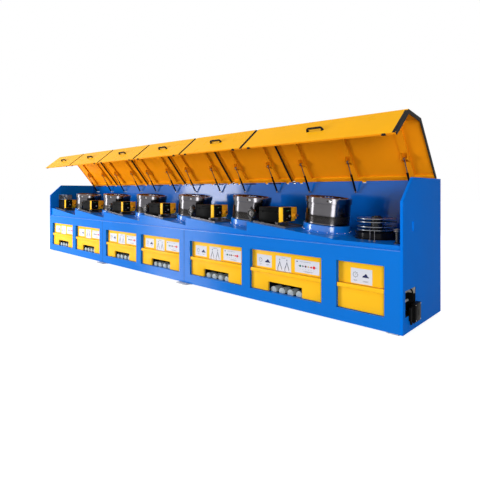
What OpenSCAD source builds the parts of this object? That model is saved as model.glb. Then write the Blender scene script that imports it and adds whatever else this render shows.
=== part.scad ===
// Straight-line wire drawing machine with six tilted drums under hinged hoods.
// X runs from the inlet to the take-off, Y from the front to the back, Z up.
// The origin is on the floor, under the middle of the whole machine with its hoods open.

/* [Machine] */
// Length of one drawing station
pitch = 1400; // [1380:10:1600]
// Length of the take-off bay
takeoff_len = 840; // [820:10:1000]
// Depth of the base, front to back
base_depth = 1230; // [1200:10:1400]
// Height of the base, up to the ledge
base_height = 905; // [860:5:960]
// Seam between neighbouring base modules
module_seam = 0.6; // [0.2:0.1:0.9]

/* [Feet] */
// Height of the levelling feet
foot_height = 20; // [10:1:40]
// Length of a foot along the machine
foot_length = 140; // [120:10:200]
// Width of a foot, front to back
foot_width = 110; // [80:10:160]
// Inset of the feet from a module's faces
foot_inset = 20; // [10:1:40]

/* [Stepped bed] */
// Rise from the ledge to a deck at the inlet side of its station
deck_rise = 205; // [195:1:215]
// Slope of each deck, in degrees
deck_slope = 5.4; // [4:0.05:6]
// Rise from the ledge to the take-off deck
takeoff_rise = 63; // [50:1:75]
// Setback of the bed behind the base front
fascia_setback = 30; // [28:1:60]
// Radius of the rounded ledge
ledge_radius = 13; // [8:1:16]

/* [Back wall and end plates] */
// Thickness of the back wall
wall_thickness = 50; // [46:1:80]
// Depth of the back wall's top below the top of the closed hoods
wall_drop = 36; // [36:1:42]
// Thickness of an end plate
plate_thickness = 30; // [20:1:40]
// Height of the closed hood and of the end plates
hood_height = 1710; // [1700:1:1720]
// Height of the front chamfer
chamfer_rise = 267; // [250:1:280]
// Depth of the front chamfer
chamfer_depth = 285; // [270:1:300]
// Width of the wire slots
slot_width = 50; // [30:1:60]
// Height of the wire slots
slot_height = 111; // [80:1:120]
// Distance of the wire slots behind the front
slot_y = 282; // [260:1:300]
// Rise from the ledge to the foot of the wire slots
slot_rise = 204; // [195:1:215]
// Width of the service opening in the outlet plate
service_width = 302; // [290:1:310]
// Height of the service opening
service_height = 285; // [270:1:300]
// Distance of the service opening behind the front
service_y = 62; // [50:1:70]
// Height of the foot of the service opening
service_z = 198; // [190:1:210]
// Depth of the recess behind the service opening
service_depth = 150; // [125:5:155]
// Distance that the cable box stands proud of the outlet plate
cable_box_depth = 52; // [40:1:60]
// Width of the cable box
cable_box_width = 235; // [200:5:260]
// Height of the cable box
cable_box_height = 198; // [150:1:210]
// Distance of the cable box behind the front
cable_box_y = 155; // [140:1:180]
// Height of the foot of the cable box
cable_box_z = 120; // [100:1:140]
// Depth of the switchgear in the recess
switch_depth = 90; // [60:5:110]
// Width of the switchgear
switch_width = 220; // [180:5:260]
// Height of each of the two switch blocks
switch_height = 108; // [80:1:115]
// Distance from the recess's side to the switchgear
switch_margin = 24; // [10:1:30]
// Height of the rail between the switch blocks
rail_height = 26; // [16:1:30]
// Distance that the rail stands proud of the switch blocks
rail_proud = 14; // [8:1:20]

/* [Front panels] */
// Distance from a module's start to its first panel
panel_offset = 150; // [120:5:170]
// Distance from a module's second station to its second panel
second_panel_offset = 90; // [80:5:110]
// Width of a station panel
panel_width = 1180; // [1100:5:1185]
// Distance from the take-off bay's start to its panel
takeoff_panel_offset = 75; // [60:1:85]
// Width of the take-off panel
takeoff_panel_width = 590; // [560:1:595]
// Height of the foot of the panels
panel_foot = 172; // [160:1:190]
// Height of the top of the panels
panel_top = 732; // [720:1:745]
// Height of the split between upper and lower panel
panel_split = 472; // [460:1:500]
// Gap round and between the panels
panel_gap = 4; // [2:1:8]
// Depth of the panel recess
panel_recess = 70; // [66:1:90]
// Thickness of an upper panel
panel_thickness = 20; // [12:1:24]
// Distance that a lower panel stands forward of the upper one
lower_forward = 16; // [8:1:20]
// Height of the lip over a lower panel
lip_height = 50; // [30:1:60]
// Distance that the lip stands proud of its panel
lip_proud = 25; // [12:1:28]
// Width of the window in a lower panel
window_width = 564; // [500:4:600]
// Height of the window
window_height = 134; // [120:1:150]
// Depth of the pocket behind the window
window_depth = 400; // [300:10:500]
// Number of pipes in a window
window_pipes = 4; // [2:1:4]
// Radius of a pipe
pipe_radius = 50; // [30:1:54]

/* [Hoods] */
// Thickness of the hood sheet
hood_sheet = 8; // [5:1:10]
// Gap between neighbouring hoods
hood_gap = 55; // [20:1:60]
// Distance from a hood's outlet end to the end of its station
hood_lead = 13; // [6:1:18]
// Gap between the last hoods and the end plates
hood_end_gap = 6; // [5:1:10]
// Rise from the ledge to the lower edge of a closed hood
edge_rise = 60; // [50:1:75]
// Angle that the hoods stand open
hood_open = 51; // [45:1:53]
// Distance of the hinge axis behind the back wall's front face
hinge_inset = 20; // [18:1:26]
// Depth of the hinge axis below the top of the closed hoods
hinge_drop = 16; // [15:1:20]
// Radius of a hinge pin
hinge_pin_radius = 8; // [6:0.5:9]
// Outer radius of a hinge knuckle
knuckle_radius = 14; // [12:0.5:14]
// Length of a hinge knuckle
knuckle_length = 60; // [40:1:80]
// Distance of the outer knuckles from a hood's ends
knuckle_inset = 110; // [90:1:140]
// Gap at the ends of a knuckle
knuckle_gap = 0.6; // [0.2:0.1:1]
// Length of the leaf that joins a knuckle to the hood
hinge_leaf = 30; // [20:1:60]
// Gap between the hinge rail and the hood's sheet
rail_clearance = 6; // [6:1:8]
// Radial clearance in bores that turn or slide
running_clearance = 0.06; // [0.02:0.01:0.1]
// Depth of the flange along a hood's hinge
rear_flange = 22; // [14:1:22]
// Distance of the outer ribs and struts from a hood's ends
rib_inset = 300; // [240:5:360]
// Outer width of a channel rib
rib_width = 90; // [60:1:100]
// Distance from the chamfer to a rib's front end
rib_front_inset = 40; // [20:1:60]
// Distance from the hinge axis to a rib's rear end
rib_rear_inset = 90; // [80:1:120]
// Thickness of a rib's sides
rib_sheet = 6; // [4:1:8]
// Depth of a rib
rib_depth = 34; // [24:1:40]
// Distance from a strut's pin to the end of its ear
ear_length = 70; // [50:1:90]
// Radius of a rib's ear round the strut's pin
ear_radius = 16; // [12:1:20]
// Depth of the rubber seal across a hood's outlet end
seal_depth = 40; // [20:1:44]
// Thickness of the rubber seal
seal_thickness = 8; // [4:1:12]
// Height of the seal's foot above the hood's edge
seal_lift = 32; // [28:1:60]
// Depth of the rubber strip that closes the gap to the next hood
strip_depth = 16; // [8:1:17]
// Clearance between the closing strip and the next hood
strip_clearance = 8; // [5:1:12]
// Distance that the bumper pads hang below the hood's edge
bumper_drop = 12; // [8:1:20]
// Distance of the bumper pads from a hood's ends
bumper_inset = 100; // [60:1:140]
// Length of a bumper pad
bumper_length = 50; // [30:1:80]
// Height of a bumper pad
bumper_height = 46; // [30:1:60]
// Thickness of the bumper pads
bumper_thickness = 16; // [10:1:17]
// Length of a pull handle
handle_length = 240; // [180:5:260]
// Distance that a handle stands off the flap
handle_reach = 56; // [46:1:64]
// Thickness of a handle
handle_bar = 18; // [14:1:22]

/* [Gas struts] */
// Distance of the wall pivots in front of the back wall
bracket_reach = 30; // [28:1:32]
// Depth of the wall pivots below the top of the closed hoods
wall_pivot_drop = 170; // [165:1:180]
// Distance from the hinge axis to a hood's strut pivot
pivot_lever = 395; // [390:1:400]
// Depth of a hood's strut pivot below its top
hood_pivot_drop = 74; // [70:1:80]
// Radius of a strut tube
tube_radius = 14; // [12:0.5:15]
// Length of a strut tube
tube_length = 290; // [280:1:300]
// Radius of a strut rod
rod_radius = 7; // [5:0.5:8]
// Length of rod that stays in the tube of an open hood
rod_hold = 60; // [50:1:80]
// Distance that the rod slides in when the hood closes
rod_travel = 130; // [129:1:136]
// Radius of the strut pins
strut_pin_radius = 6; // [5:0.5:7]
// Play of the rod eye round its pin
eye_play = 9; // [8.5:0.5:10]
// Wall of the rod eye
eye_wall = 6; // [4:0.5:8]
// Thickness of the strut eyes
eye_thickness = 16; // [15:1:20]
// Radius of a tube's eye and of the bracket round it
tube_eye_radius = 12; // [10:0.5:14]
// Distance from a tube's eye to the foot of the tube
tube_foot = 20; // [18:1:24]
// Width of the neck between a tube and its eye
tube_neck = 16; // [12:1:18]
// Thickness of a bracket's cheek
bracket_cheek = 6; // [4:1:8]
// Gap between a bracket's cheek and the eye
bracket_gap = 2; // [1:0.5:4]

/* [Drums] */
// Distance of a drum's axis from its station's start
drum_offset = 1000; // [960:5:1010]
// Distance of the drum axes behind the base front
drum_y = 560; // [540:5:580]
// Working radius of a drum
drum_radius = 300; // [280:1:305]
// Height of a drum
drum_height = 355; // [330:5:360]
// Height of the top rim band
rim_height = 75; // [50:1:80]
// Distance that the rim stands proud
rim_proud = 12; // [8:1:14]
// Height of the wound band at the foot
wound_height = 125; // [90:1:140]
// Depth of the grooves round a drum
groove_depth = 5; // [3:1:8]
// Height of the bare band at a drum's foot
drum_foot = 16; // [8:1:24]
// Height of the neck under a drum's rim
neck_height = 8; // [4:1:14]
// Bevel round the top of a drum's rim
rim_bevel = 8; // [2:1:10]
// Width of a drum's rim on top
rim_width = 30; // [20:1:60]
// Depth of the dish in a drum's top
dish_depth = 18; // [8:1:30]
// Run of the slopes in the dish
dish_flank = 10; // [4:1:20]
// Radius of the boss in a drum's top
boss_radius = 80; // [50:1:110]
// Depth of the boss below the rim
boss_drop = 4; // [0:1:10]
// Radius of the collar under a drum
collar_radius = 318; // [316:1:330]
// Height of the collar
collar_height = 100; // [90:1:110]
// Gap between a drum and its collar
drum_gap = 5; // [5:1:8]
// Radius of a drum spindle
spindle_radius = 45; // [35:1:60]
// Length of a spindle in its drum
spindle_length = 90; // [60:5:120]
// Gap above the spindle
spindle_gap = 1; // [0.5:0.5:3]

/* [Die boxes] */
// Distance of a die box from its station's start
die_offset = 115; // [100:1:125]
// Distance of the die boxes behind the base front
die_y = 170; // [150:1:190]
// Depth of a die box, front to back
die_depth = 285; // [270:1:300]
// Height of the foot of a die box above the deck at its inlet end
die_lift = 14; // [12:1:20]
// Height of a die box
die_height = 216; // [200:1:230]
// Length of the black cover
cover_length = 335; // [300:1:340]
// Length of the yellow block
block_length = 110; // [90:1:112]
// Rise of the yellow block's foot towards the drum
block_rise = 18; // [8:1:30]
// Depth of the lubricator half of the box's end
lubricator_depth = 160; // [140:1:165]
// Height of the die holder's foot above the die box's
holder_foot = 50; // [40:1:60]
// Length of the lubricator and die holder ends
holder_length = 26; // [20:1:30]
// Radius of the nozzle
nozzle_radius = 16; // [12:1:22]
// Length of the nozzle
nozzle_length = 70; // [50:1:80]
// Height of the nozzle above the die box's foot
nozzle_height = 100; // [80:1:120]
// Distance of a drip tray from its station's start
tray_offset = 50; // [40:1:60]
// Length of a drip tray
tray_length = 590; // [575:1:600]
// Distance of the drip trays behind the base front
tray_y = 110; // [90:1:120]
// Depth of a drip tray, front to back
tray_depth = 420; // [400:1:430]
// Thickness of a drip tray's rim
tray_sheet = 6; // [4:1:8]
// Thickness of the drip tray's floor
tray_floor = 8; // [5:1:12]
// Height of the drip tray's rim
tray_rim = 20; // [14:1:26]
// Length of a die box leg
leg_length = 50; // [30:1:60]
// Width of a die box leg
leg_width = 40; // [30:1:50]
// Inset of the legs from a die box's faces
leg_inset = 20; // [10:1:30]

/* [Wire guides] */
// Length of the inlet guide's housing
inlet_length = 520; // [400:10:560]
// Width and height of the inlet guide's housing
inlet_width = 124; // [100:1:130]
// Gap between the inlet guide and the die box under it
inlet_gap = 5; // [4:1:12]
// Distance of a wire guide from its station's start
guide_offset = 1305; // [1290:1:1310]
// Distance of the wire guides behind the base front
guide_y = 180; // [150:1:190]
// Height of a guide head's middle above the deck
guide_height = 235; // [215:1:250]
// Radius of a guide head
guide_head_radius = 72; // [60:1:76]
// Depth of a guide head, front to back
guide_head_depth = 60; // [40:1:70]
// Radius of a guide roller
guide_roller_radius = 54; // [30:1:58]
// Thickness of a guide roller
guide_roller_width = 22; // [14:1:26]
// Length of a guide's foot plate
guide_foot_length = 90; // [70:1:110]
// Thickness of a guide's foot plate
guide_foot_height = 24; // [16:1:30]
// Thickness of a guide's post
guide_post = 44; // [30:1:50]
// Distance of the outlet roller from the take-off bay's start
outlet_offset = 735; // [710:1:745]
// Distance of the outlet roller behind the base front
outlet_y = 190; // [170:1:200]
// Height of the outlet roller's foot above the take-off deck
outlet_height = 138; // [120:1:150]
// Radius of the outlet roller
outlet_radius = 42; // [30:1:46]

/* [Take-off] */
// Distance of the sheaves' axis from the take-off bay's start
sheave_offset = 325; // [310:5:340]
// Distance of the sheaves' axis behind the base front
sheave_y = 560; // [540:5:600]
// Radius of the sheaves
sheave_radius = 240; // [230:5:250]
// Distance from disc to disc in a pair
pair_pitch = 40; // [36:1:46]
// Distance from the lower pair of discs to the upper pair
pairs_pitch = 98; // [94:1:104]
// Thickness of a disc at its rim
disc_thickness = 10; // [8:1:14]
// Rise from the take-off deck to the lowest disc
sheave_rise = 106; // [102:1:117]
// Height of the hub above the uppermost disc
hub_proud = 24; // [10:1:40]
// Radius of the sheave hub
hub_radius = 70; // [60:1:90]
// Radius of the shaft that turns in the pedestal
sheave_shaft_radius = 30; // [24:1:36]
// Length of the shaft in the pedestal
sheave_shaft_length = 80; // [60:1:90]
// Radius of the pedestal
pedestal_radius = 268; // [260:1:280]
// Height of the pedestal
pedestal_height = 92; // [90:1:96]

/* [Hidden] */
stations = 6;
$fn = 48;
eps = 0.01;
seat_gap = 0.3;
deck_clearance = 0.02;
rod_end_gap = 10;
body_length = stations * pitch + takeoff_len;
total_length = body_length + 2 * plate_thickness;
takeoff_x = plate_thickness + stations * pitch;
deck_high = base_height + deck_rise;
takeoff_deck = base_height + takeoff_rise;
slot_z = base_height + slot_rise;
hood_edge = base_height + edge_rise;
sheave_z = takeoff_deck + sheave_rise;
wall_y = base_depth - wall_thickness;
wall_top = hood_height - wall_drop;
hinge_y = wall_y + hinge_inset;
hinge_z = hood_height - hinge_drop;
wall_pivot_y = wall_y - bracket_reach;
wall_pivot_z = hood_height - wall_pivot_drop;
hood_pivot_y = hinge_y - pivot_lever;
hood_pivot_z = hood_height - hood_pivot_drop;
chamfer_foot = hood_height - chamfer_rise;
chamfer_angle = atan2(chamfer_rise, chamfer_depth);
fold_low = (1 - sin(chamfer_angle)) / cos(chamfer_angle);
fold_high = (1 - cos(chamfer_angle)) / sin(chamfer_angle);
hood_rear = hinge_y - knuckle_radius - rail_clearance;
rib_front = chamfer_depth + rib_front_inset;
rib_rear = hinge_y - rib_rear_inset;
eye_radius = strut_pin_radius + eye_play + eye_wall;
open_reach = norm([hood_pivot_y - hinge_y, hood_pivot_z - hinge_z]);
closed_angle = atan2(hood_pivot_z - hinge_z, hood_pivot_y - hinge_y);
open_angle = closed_angle - hood_open;
open_pivot = [hinge_y + open_reach * cos(open_angle), hinge_z + open_reach * sin(open_angle)];
strut_vector = [open_pivot[0] - wall_pivot_y, open_pivot[1] - wall_pivot_z];
strut_length = norm(strut_vector);
strut_lean = atan2(-strut_vector[0], strut_vector[1]);
levels = [0, pair_pitch, pairs_pitch, pairs_pitch + pair_pitch];
die_foot = deck_at(die_offset) + die_lift;
bumper_foot = hood_edge - bumper_drop;
front_reach = min(open_y(hood_sheet, bumper_foot), open_y(0, hood_edge));
middle_x = (total_length + cable_box_depth) / 2;
middle_y = (front_reach + base_depth) / 2;
blue = "#1746c8";
yellow = "#f0b81c";
black = "#17181a";
steel = "#b9bcc0";

// Foremost reach of an open hood's point, given closed
function open_y(y, z) = hinge_y + (y - hinge_y) * cos(hood_open) + (z - hinge_z) * sin(hood_open);
function station_x(n) = plate_thickness + (n - 1) * pitch;
function module_start(first) = station_x(first) + (first == 1 ? 0 : module_seam / 2);
function module_finish(last) = last == stations ? total_length - plate_thickness
    : station_x(last + 1) - module_seam / 2;
function panel_x(n) = station_x(n) + (n % 2 == 1 ? panel_offset : second_panel_offset);
function deck_at(x) = deck_high - x * tan(deck_slope);
function hood_start(n) = station_x(n) + (n == 1 ? hood_end_gap : hood_gap - hood_lead);
function hood_end(n) = n == stations ? total_length - plate_thickness - hood_end_gap
    : station_x(n + 1) - hood_lead;
function strut_places(n) = n == stations
    ? [hood_start(n) + rib_inset, (hood_start(n) + hood_end(n)) / 2, hood_end(n) - rib_inset]
    : [hood_start(n) + rib_inset, hood_end(n) - rib_inset];
function knuckle_places(n) = [hood_start(n) + knuckle_inset,
    (hood_start(n) + hood_end(n)) / 2 + knuckle_inset, hood_end(n) - knuckle_inset];

// Machine coordinates start at the inlet end of the base front; the origin is moved from there
module placed() {
    translate([-middle_x, -middle_y, 0]) children();
}

module across(x, length) {
    translate([x, 0, 0]) rotate([90, 0, 90]) linear_extrude(length) children();
}

module on_deck(n, x, y) {
    translate([station_x(n) + x, y, deck_at(x) + deck_clearance]) rotate([0, deck_slope, 0])
        children();
}

// Outline of the closed hood between two depths under its outer face
function hood_band(near, far, rear, edge) = [
    [rear, hood_height - near],
    [chamfer_depth + near * fold_high, hood_height - near],
    [near, chamfer_foot - near * fold_low],
    [near, edge],
    [far, edge],
    [far, chamfer_foot - far * fold_low],
    [chamfer_depth + far * fold_high, hood_height - far],
    [rear, hood_height - far],
];

module hood_swung() {
    translate([0, hinge_y, hinge_z]) rotate([-hood_open, 0, 0]) translate([0, -hinge_y, -hinge_z])
        children();
}

// Base modules with their stepped decks
module module_outline(first, last) {
    start = module_start(first);
    finish = module_finish(last);
    polygon(concat(
        [[start, base_height - fascia_setback]],
        [for (n = [first:last], x = [max(start, station_x(n)), min(finish, station_x(n + 1))])
            [x, deck_at(x - station_x(n))]],
        last == stations ? [[takeoff_x, takeoff_deck], [finish, takeoff_deck]] : [],
        [[finish, base_height - fascia_setback]]
    ));
}

module panel_hole(x, width) {
    translate([x, -eps, panel_foot]) cube([width, panel_recess + eps, panel_top - panel_foot]);
}

module base_module(first, last) {
    start = module_start(first);
    finish = module_finish(last);
    color(blue) placed() {
        difference() {
            union() {
                translate([start, 0, foot_height])
                    cube([finish - start, base_depth, base_height - foot_height]);
                translate([0, wall_y, 0]) rotate([90, 0, 0])
                    linear_extrude(wall_y - fascia_setback) module_outline(first, last);
            }
            for (n = [first:last]) {
                panel_hole(panel_x(n), panel_width);
                translate([panel_x(n) + (panel_width - window_width) / 2, 0, panel_foot])
                    cube([window_width, window_depth, window_height]);
            }
            if (last == stations) {
                panel_hole(takeoff_x + takeoff_panel_offset, takeoff_panel_width);
                translate([finish - service_depth, service_y, service_z])
                    cube([service_depth + eps, service_width, service_height]);
            }
        }
    }
}

module levelling_feet() {
    color("silver") placed()
        for (first = [1:2:stations], y = [foot_inset, base_depth - foot_inset - foot_width])
            for (x = [module_start(first) + foot_inset,
                    module_finish(first + 1) - foot_inset - foot_length])
                translate([x, y, 0]) cube([foot_length, foot_width, foot_height]);
}

module front_ledge() {
    color(blue) placed()
        translate([plate_thickness, fascia_setback - ledge_radius, base_height])
            rotate([0, 90, 0]) intersection() {
                cylinder(r = ledge_radius, h = body_length);
                translate([-ledge_radius, -ledge_radius, 0])
                    cube([ledge_radius, 2 * ledge_radius, body_length]);
            }
}

// Yellow panels in the base front; the lower ones stand forward and have a lip
module panel_pair(x, width, upper, window) {
    face = panel_recess - panel_thickness;
    lower_face = face - lower_forward;
    inner = width - 2 * panel_gap;
    if (upper) {
        translate([x + panel_gap, face, panel_split + panel_gap / 2])
            cube([inner, panel_thickness, panel_top - panel_split - 1.5 * panel_gap]);
    } else {
        difference() {
            translate([x + panel_gap, lower_face, panel_foot + panel_gap])
                cube([inner, panel_thickness + lower_forward, panel_split - panel_foot - 1.5 * panel_gap]);
            if (window)
                translate([x + (width - window_width) / 2, lower_face - eps, panel_foot])
                    cube([window_width, panel_thickness + lower_forward + 2 * eps, window_height]);
        }
        translate([x + panel_gap, lower_face - lip_proud, panel_split - panel_gap / 2 - lip_height])
            cube([inner, lip_proud, lip_height]);
    }
}

module front_panels(upper) {
    color(yellow) placed() {
        for (n = [1:stations]) panel_pair(panel_x(n), panel_width, upper, true);
        panel_pair(takeoff_x + takeoff_panel_offset, takeoff_panel_width, upper, false);
    }
}

module window_pipes() {
    step = window_width / window_pipes;
    color("gray") placed()
        for (n = [1:stations], i = [0:window_pipes - 1])
            translate([panel_x(n) + (panel_width - window_width) / 2 + (i + 0.5) * step,
                window_depth, panel_foot + pipe_radius])
                rotate([90, 0, 0]) cylinder(r = pipe_radius, h = window_depth - panel_recess);
}

// Back wall in three lengths, with the rails and pins on which the hoods' knuckles turn
module back_wall() {
    half = knuckle_length / 2 + knuckle_gap;
    color(blue) placed()
        for (first = [1:2:stations]) {
            last = first + 1;
            translate([module_start(first), wall_y, base_height])
                cube([module_finish(last) - module_start(first), wall_thickness, wall_top - base_height]);
            for (n = [first:last]) {
                starts = concat([hood_start(n)], [for (x = knuckle_places(n)) x + half]);
                ends = concat([for (x = knuckle_places(n)) x - half], [hood_end(n)]);
                for (i = [0:len(starts) - 1]) hinge_rail(starts[i], ends[i] - starts[i]);
                for (x = knuckle_places(n))
                    translate([x - knuckle_length, hinge_y, hinge_z]) rotate([0, 90, 0])
                        cylinder(r = hinge_pin_radius, h = 2 * knuckle_length);
            }
        }
}

module hinge_rail(x, length) {
    translate([x, hinge_y - knuckle_radius, wall_top - eps])
        cube([length, 2 * knuckle_radius, hinge_z - wall_top + eps]);
    translate([x, hinge_y, hinge_z]) rotate([0, 90, 0]) cylinder(r = knuckle_radius, h = length);
}

// End plates
module plate_outline() {
    polygon([[0, foot_height], [0, chamfer_foot], [chamfer_depth, hood_height],
        [base_depth, hood_height], [base_depth, foot_height]]);
}

module end_plate(x, service) {
    color(blue) placed() difference() {
        across(x, plate_thickness) plate_outline();
        translate([x - eps, slot_y - slot_width / 2, slot_z])
            cube([plate_thickness + 2 * eps, slot_width, slot_height]);
        if (service)
            translate([x - eps, service_y, service_z])
                cube([plate_thickness + 2 * eps, service_width, service_height]);
    }
}

module outlet_cable_box() {
    color(black) placed() translate([total_length, cable_box_y, cable_box_z])
        cube([cable_box_depth, cable_box_width, cable_box_height]);
}

// Two switch blocks in the recess, with a rail between them
module service_fittings() {
    color("dimgray") placed()
        translate([total_length - plate_thickness - service_depth, service_y + switch_margin, service_z]) {
            cube([switch_depth, switch_width, 2 * switch_height + rail_height]);
            translate([0, 0, switch_height])
                cube([switch_depth + rail_proud, switch_width, rail_height]);
        }
}

// Drums and what stands on the decks
module drum_collars() {
    color(blue) placed()
        for (n = [1:stations]) on_deck(n, drum_offset, drum_y) {
            cylinder(r = collar_radius, h = collar_height, $fn = 96);
            cylinder(r = spindle_radius, h = collar_height + drum_gap + spindle_length);
        }
}

module drum(n) {
    rim_foot = drum_height - rim_height;
    color(steel) placed() on_deck(n, drum_offset, drum_y)
        translate([0, 0, collar_height + drum_gap]) rotate_extrude($fn = 96) polygon([
            [spindle_radius + running_clearance, 0],
            [drum_radius, 0],
            [drum_radius, drum_foot],
            [drum_radius - groove_depth, drum_foot],
            [drum_radius - groove_depth, wound_height],
            [drum_radius, wound_height + groove_depth],
            [drum_radius, rim_foot - neck_height],
            [drum_radius - groove_depth, rim_foot - neck_height],
            [drum_radius - groove_depth, rim_foot],
            [drum_radius + rim_proud, rim_foot],
            [drum_radius + rim_proud, drum_height - rim_bevel],
            [drum_radius + rim_proud - rim_bevel, drum_height],
            [drum_radius - rim_width, drum_height],
            [drum_radius - rim_width - dish_flank, drum_height - dish_depth],
            [boss_radius + dish_flank, drum_height - dish_depth],
            [boss_radius, drum_height - boss_drop],
            [0, drum_height - boss_drop],
            [0, spindle_length + spindle_gap],
            [spindle_radius + running_clearance, spindle_length + spindle_gap],
        ]);
}

// Drip trays, each with four legs that carry a die box level on the sloping deck
module drip_trays() {
    legs = [die_offset + leg_inset, die_offset + cover_length - leg_length];
    color("dimgray") placed()
        for (n = [1:stations]) {
            on_deck(n, tray_offset, tray_y) difference() {
                cube([tray_length, tray_depth, tray_rim]);
                translate([tray_sheet, tray_sheet, tray_floor])
                    cube([tray_length - 2 * tray_sheet, tray_depth - 2 * tray_sheet, tray_rim]);
            }
            for (x = legs, y = [die_y + leg_inset, die_y + die_depth - leg_inset - leg_width])
                translate([station_x(n), y + leg_width, 0]) rotate([90, 0, 0])
                    linear_extrude(leg_width) polygon([
                        [x, deck_at(x) + tray_floor / 2],
                        [x + leg_length, deck_at(x + leg_length) + tray_floor / 2],
                        [x + leg_length, die_foot - seat_gap],
                        [x, die_foot - seat_gap],
                    ]);
        }
}

// Die boxes: black cover, yellow block, then the lubricator beside the die holder
module on_die_box(n, x, y, z) {
    translate([station_x(n) + die_offset + x, die_y + y, die_foot + z]) children();
}

module die_box_covers() {
    color(black) placed()
        for (n = [1:stations]) on_die_box(n, 0, 0, 0) cube([cover_length, die_depth, die_height]);
}

module die_box_blocks() {
    color(yellow) placed()
        for (n = [1:stations]) on_die_box(n, cover_length, die_depth, 0) rotate([90, 0, 0])
            linear_extrude(die_depth)
                polygon([[0, 0], [block_length, block_rise], [block_length, die_height], [0, die_height]]);
}

module die_lubricators() {
    color(black) placed()
        for (n = [1:stations]) on_die_box(n, cover_length + block_length, 0, block_rise)
            cube([holder_length, lubricator_depth, die_height - block_rise]);
}

module die_holders() {
    color("darkorange") placed()
        for (n = [1:stations])
            on_die_box(n, cover_length + block_length, lubricator_depth, holder_foot)
                cube([holder_length, die_depth - lubricator_depth, die_height - holder_foot]);
}

module die_nozzles() {
    color("saddlebrown") placed()
        for (n = [1:stations])
            on_die_box(n, cover_length + block_length + holder_length,
                (lubricator_depth + die_depth) / 2, nozzle_height)
                rotate([0, 90, 0]) cylinder(r = nozzle_radius, h = nozzle_length);
}

// Wire guides: the inlet guide on its plate, a round head after each drum, the outlet roller
module inlet_guide() {
    color("lightgray") placed()
        translate([plate_thickness, slot_y - inlet_width / 2, die_foot + die_height + inlet_gap])
            cube([inlet_length, inlet_width, inlet_width]);
}

module wire_guides() {
    foot_depth = guide_roller_width + guide_head_depth + guide_post / 2;
    color(black) placed() {
        for (n = [1:stations - 1]) on_deck(n, guide_offset, guide_y) {
            translate([-guide_foot_length / 2, 0, 0])
                cube([guide_foot_length, foot_depth, guide_foot_height]);
            translate([-guide_post / 2, guide_roller_width + (guide_head_depth - guide_post) / 2, 0])
                cube([guide_post, guide_post, guide_height]);
            translate([0, guide_roller_width + guide_head_depth, guide_height]) rotate([90, 0, 0])
                cylinder(r = guide_head_radius, h = guide_head_depth);
        }
        translate([takeoff_x + outlet_offset, outlet_y, takeoff_deck])
            cylinder(r = guide_post / 2, h = outlet_height);
    }
}

module guide_rollers() {
    color(steel) placed() {
        for (n = [1:stations - 1]) on_deck(n, guide_offset, guide_y)
            translate([0, guide_roller_width, guide_height]) rotate([90, 0, 0])
                cylinder(r = guide_roller_radius, h = guide_roller_width);
        translate([takeoff_x + outlet_offset, outlet_y, takeoff_deck + outlet_height])
            cylinder(r = outlet_radius, h = guide_roller_width);
    }
}

// Take-off sheaves on a hub, whose shaft turns in the pedestal
module on_takeoff(z) {
    translate([takeoff_x + sheave_offset, sheave_y, z]) children();
}

module takeoff_pedestal() {
    color(black) placed() on_takeoff(takeoff_deck) difference() {
        cylinder(r = pedestal_radius, h = pedestal_height, $fn = 96);
        translate([0, 0, pedestal_height - sheave_shaft_length])
            cylinder(r = sheave_shaft_radius + running_clearance, h = sheave_shaft_length + 1);
    }
}

module takeoff_hub() {
    seat = takeoff_deck + pedestal_height;
    color(steel) placed() {
        on_takeoff(seat - sheave_shaft_length + 1)
            cylinder(r = sheave_shaft_radius, h = sheave_shaft_length);
        on_takeoff(seat + seat_gap)
            cylinder(r = hub_radius, h = sheave_z - seat - seat_gap + levels[3] + disc_thickness + hub_proud);
    }
}

module takeoff_sheaves() {
    color(steel) placed() for (level = levels) on_takeoff(sheave_z + level)
        difference() {
            cylinder(r = sheave_radius, h = disc_thickness, $fn = 96);
            translate([0, 0, -1]) cylinder(r = hub_radius + running_clearance, h = disc_thickness + 2);
        }
}

// Hoods, hinged along the back wall and drawn standing open
module hood(n) {
    start = hood_start(n);
    length = hood_end(n) - start;
    color(yellow) placed() hood_swung() difference() {
        union() {
            across(start, length)
                polygon(hood_band(0, hood_sheet, hood_rear, hood_edge));
            for (x = knuckle_places(n)) {
                translate([x - knuckle_length / 2, hinge_y, hinge_z]) rotate([0, 90, 0])
                    cylinder(r = knuckle_radius, h = knuckle_length);
                translate([x - knuckle_length / 2, hood_rear - hinge_leaf, hinge_z])
                    cube([knuckle_length, hinge_y - hood_rear + hinge_leaf, hood_height - hinge_z - 2]);
            }
            across(start, length)
                translate([hood_rear - hood_sheet, hood_height - hood_sheet - rear_flange])
                    square([hood_sheet, rear_flange + 1]);
            for (x = strut_places(n)) {
                for (side = [-1, 1])
                    translate([x + side * (rib_width - rib_sheet) / 2 - rib_sheet / 2, 0, 0])
                        rib_side();
                across(x - rib_width / 2, rib_width) rib_webs();
            }
            for (x = strut_places(n))
                translate([x - rib_width / 2, hood_pivot_y, hood_pivot_z]) rotate([0, 90, 0])
                    cylinder(r = strut_pin_radius, h = rib_width);
        }
        for (x = knuckle_places(n))
            translate([x - knuckle_length, hinge_y, hinge_z]) rotate([0, 90, 0])
                cylinder(r = hinge_pin_radius + running_clearance, h = 2 * knuckle_length);
    }
}

module rib_side() {
    foot = hood_height - hood_sheet - rib_depth;
    across(0, rib_sheet) {
        translate([rib_front, foot]) square([rib_rear - rib_front, rib_depth + 1]);
        polygon([[hood_pivot_y - ear_length, foot], [hood_pivot_y - ear_radius, hood_pivot_z],
            [hood_pivot_y + ear_radius, hood_pivot_z], [hood_pivot_y + ear_length, foot],
            [hood_pivot_y + ear_length, foot + rib_sheet], [hood_pivot_y - ear_length, foot + rib_sheet]]);
        translate([hood_pivot_y, hood_pivot_z]) circle(r = ear_radius);
    }
}

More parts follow.
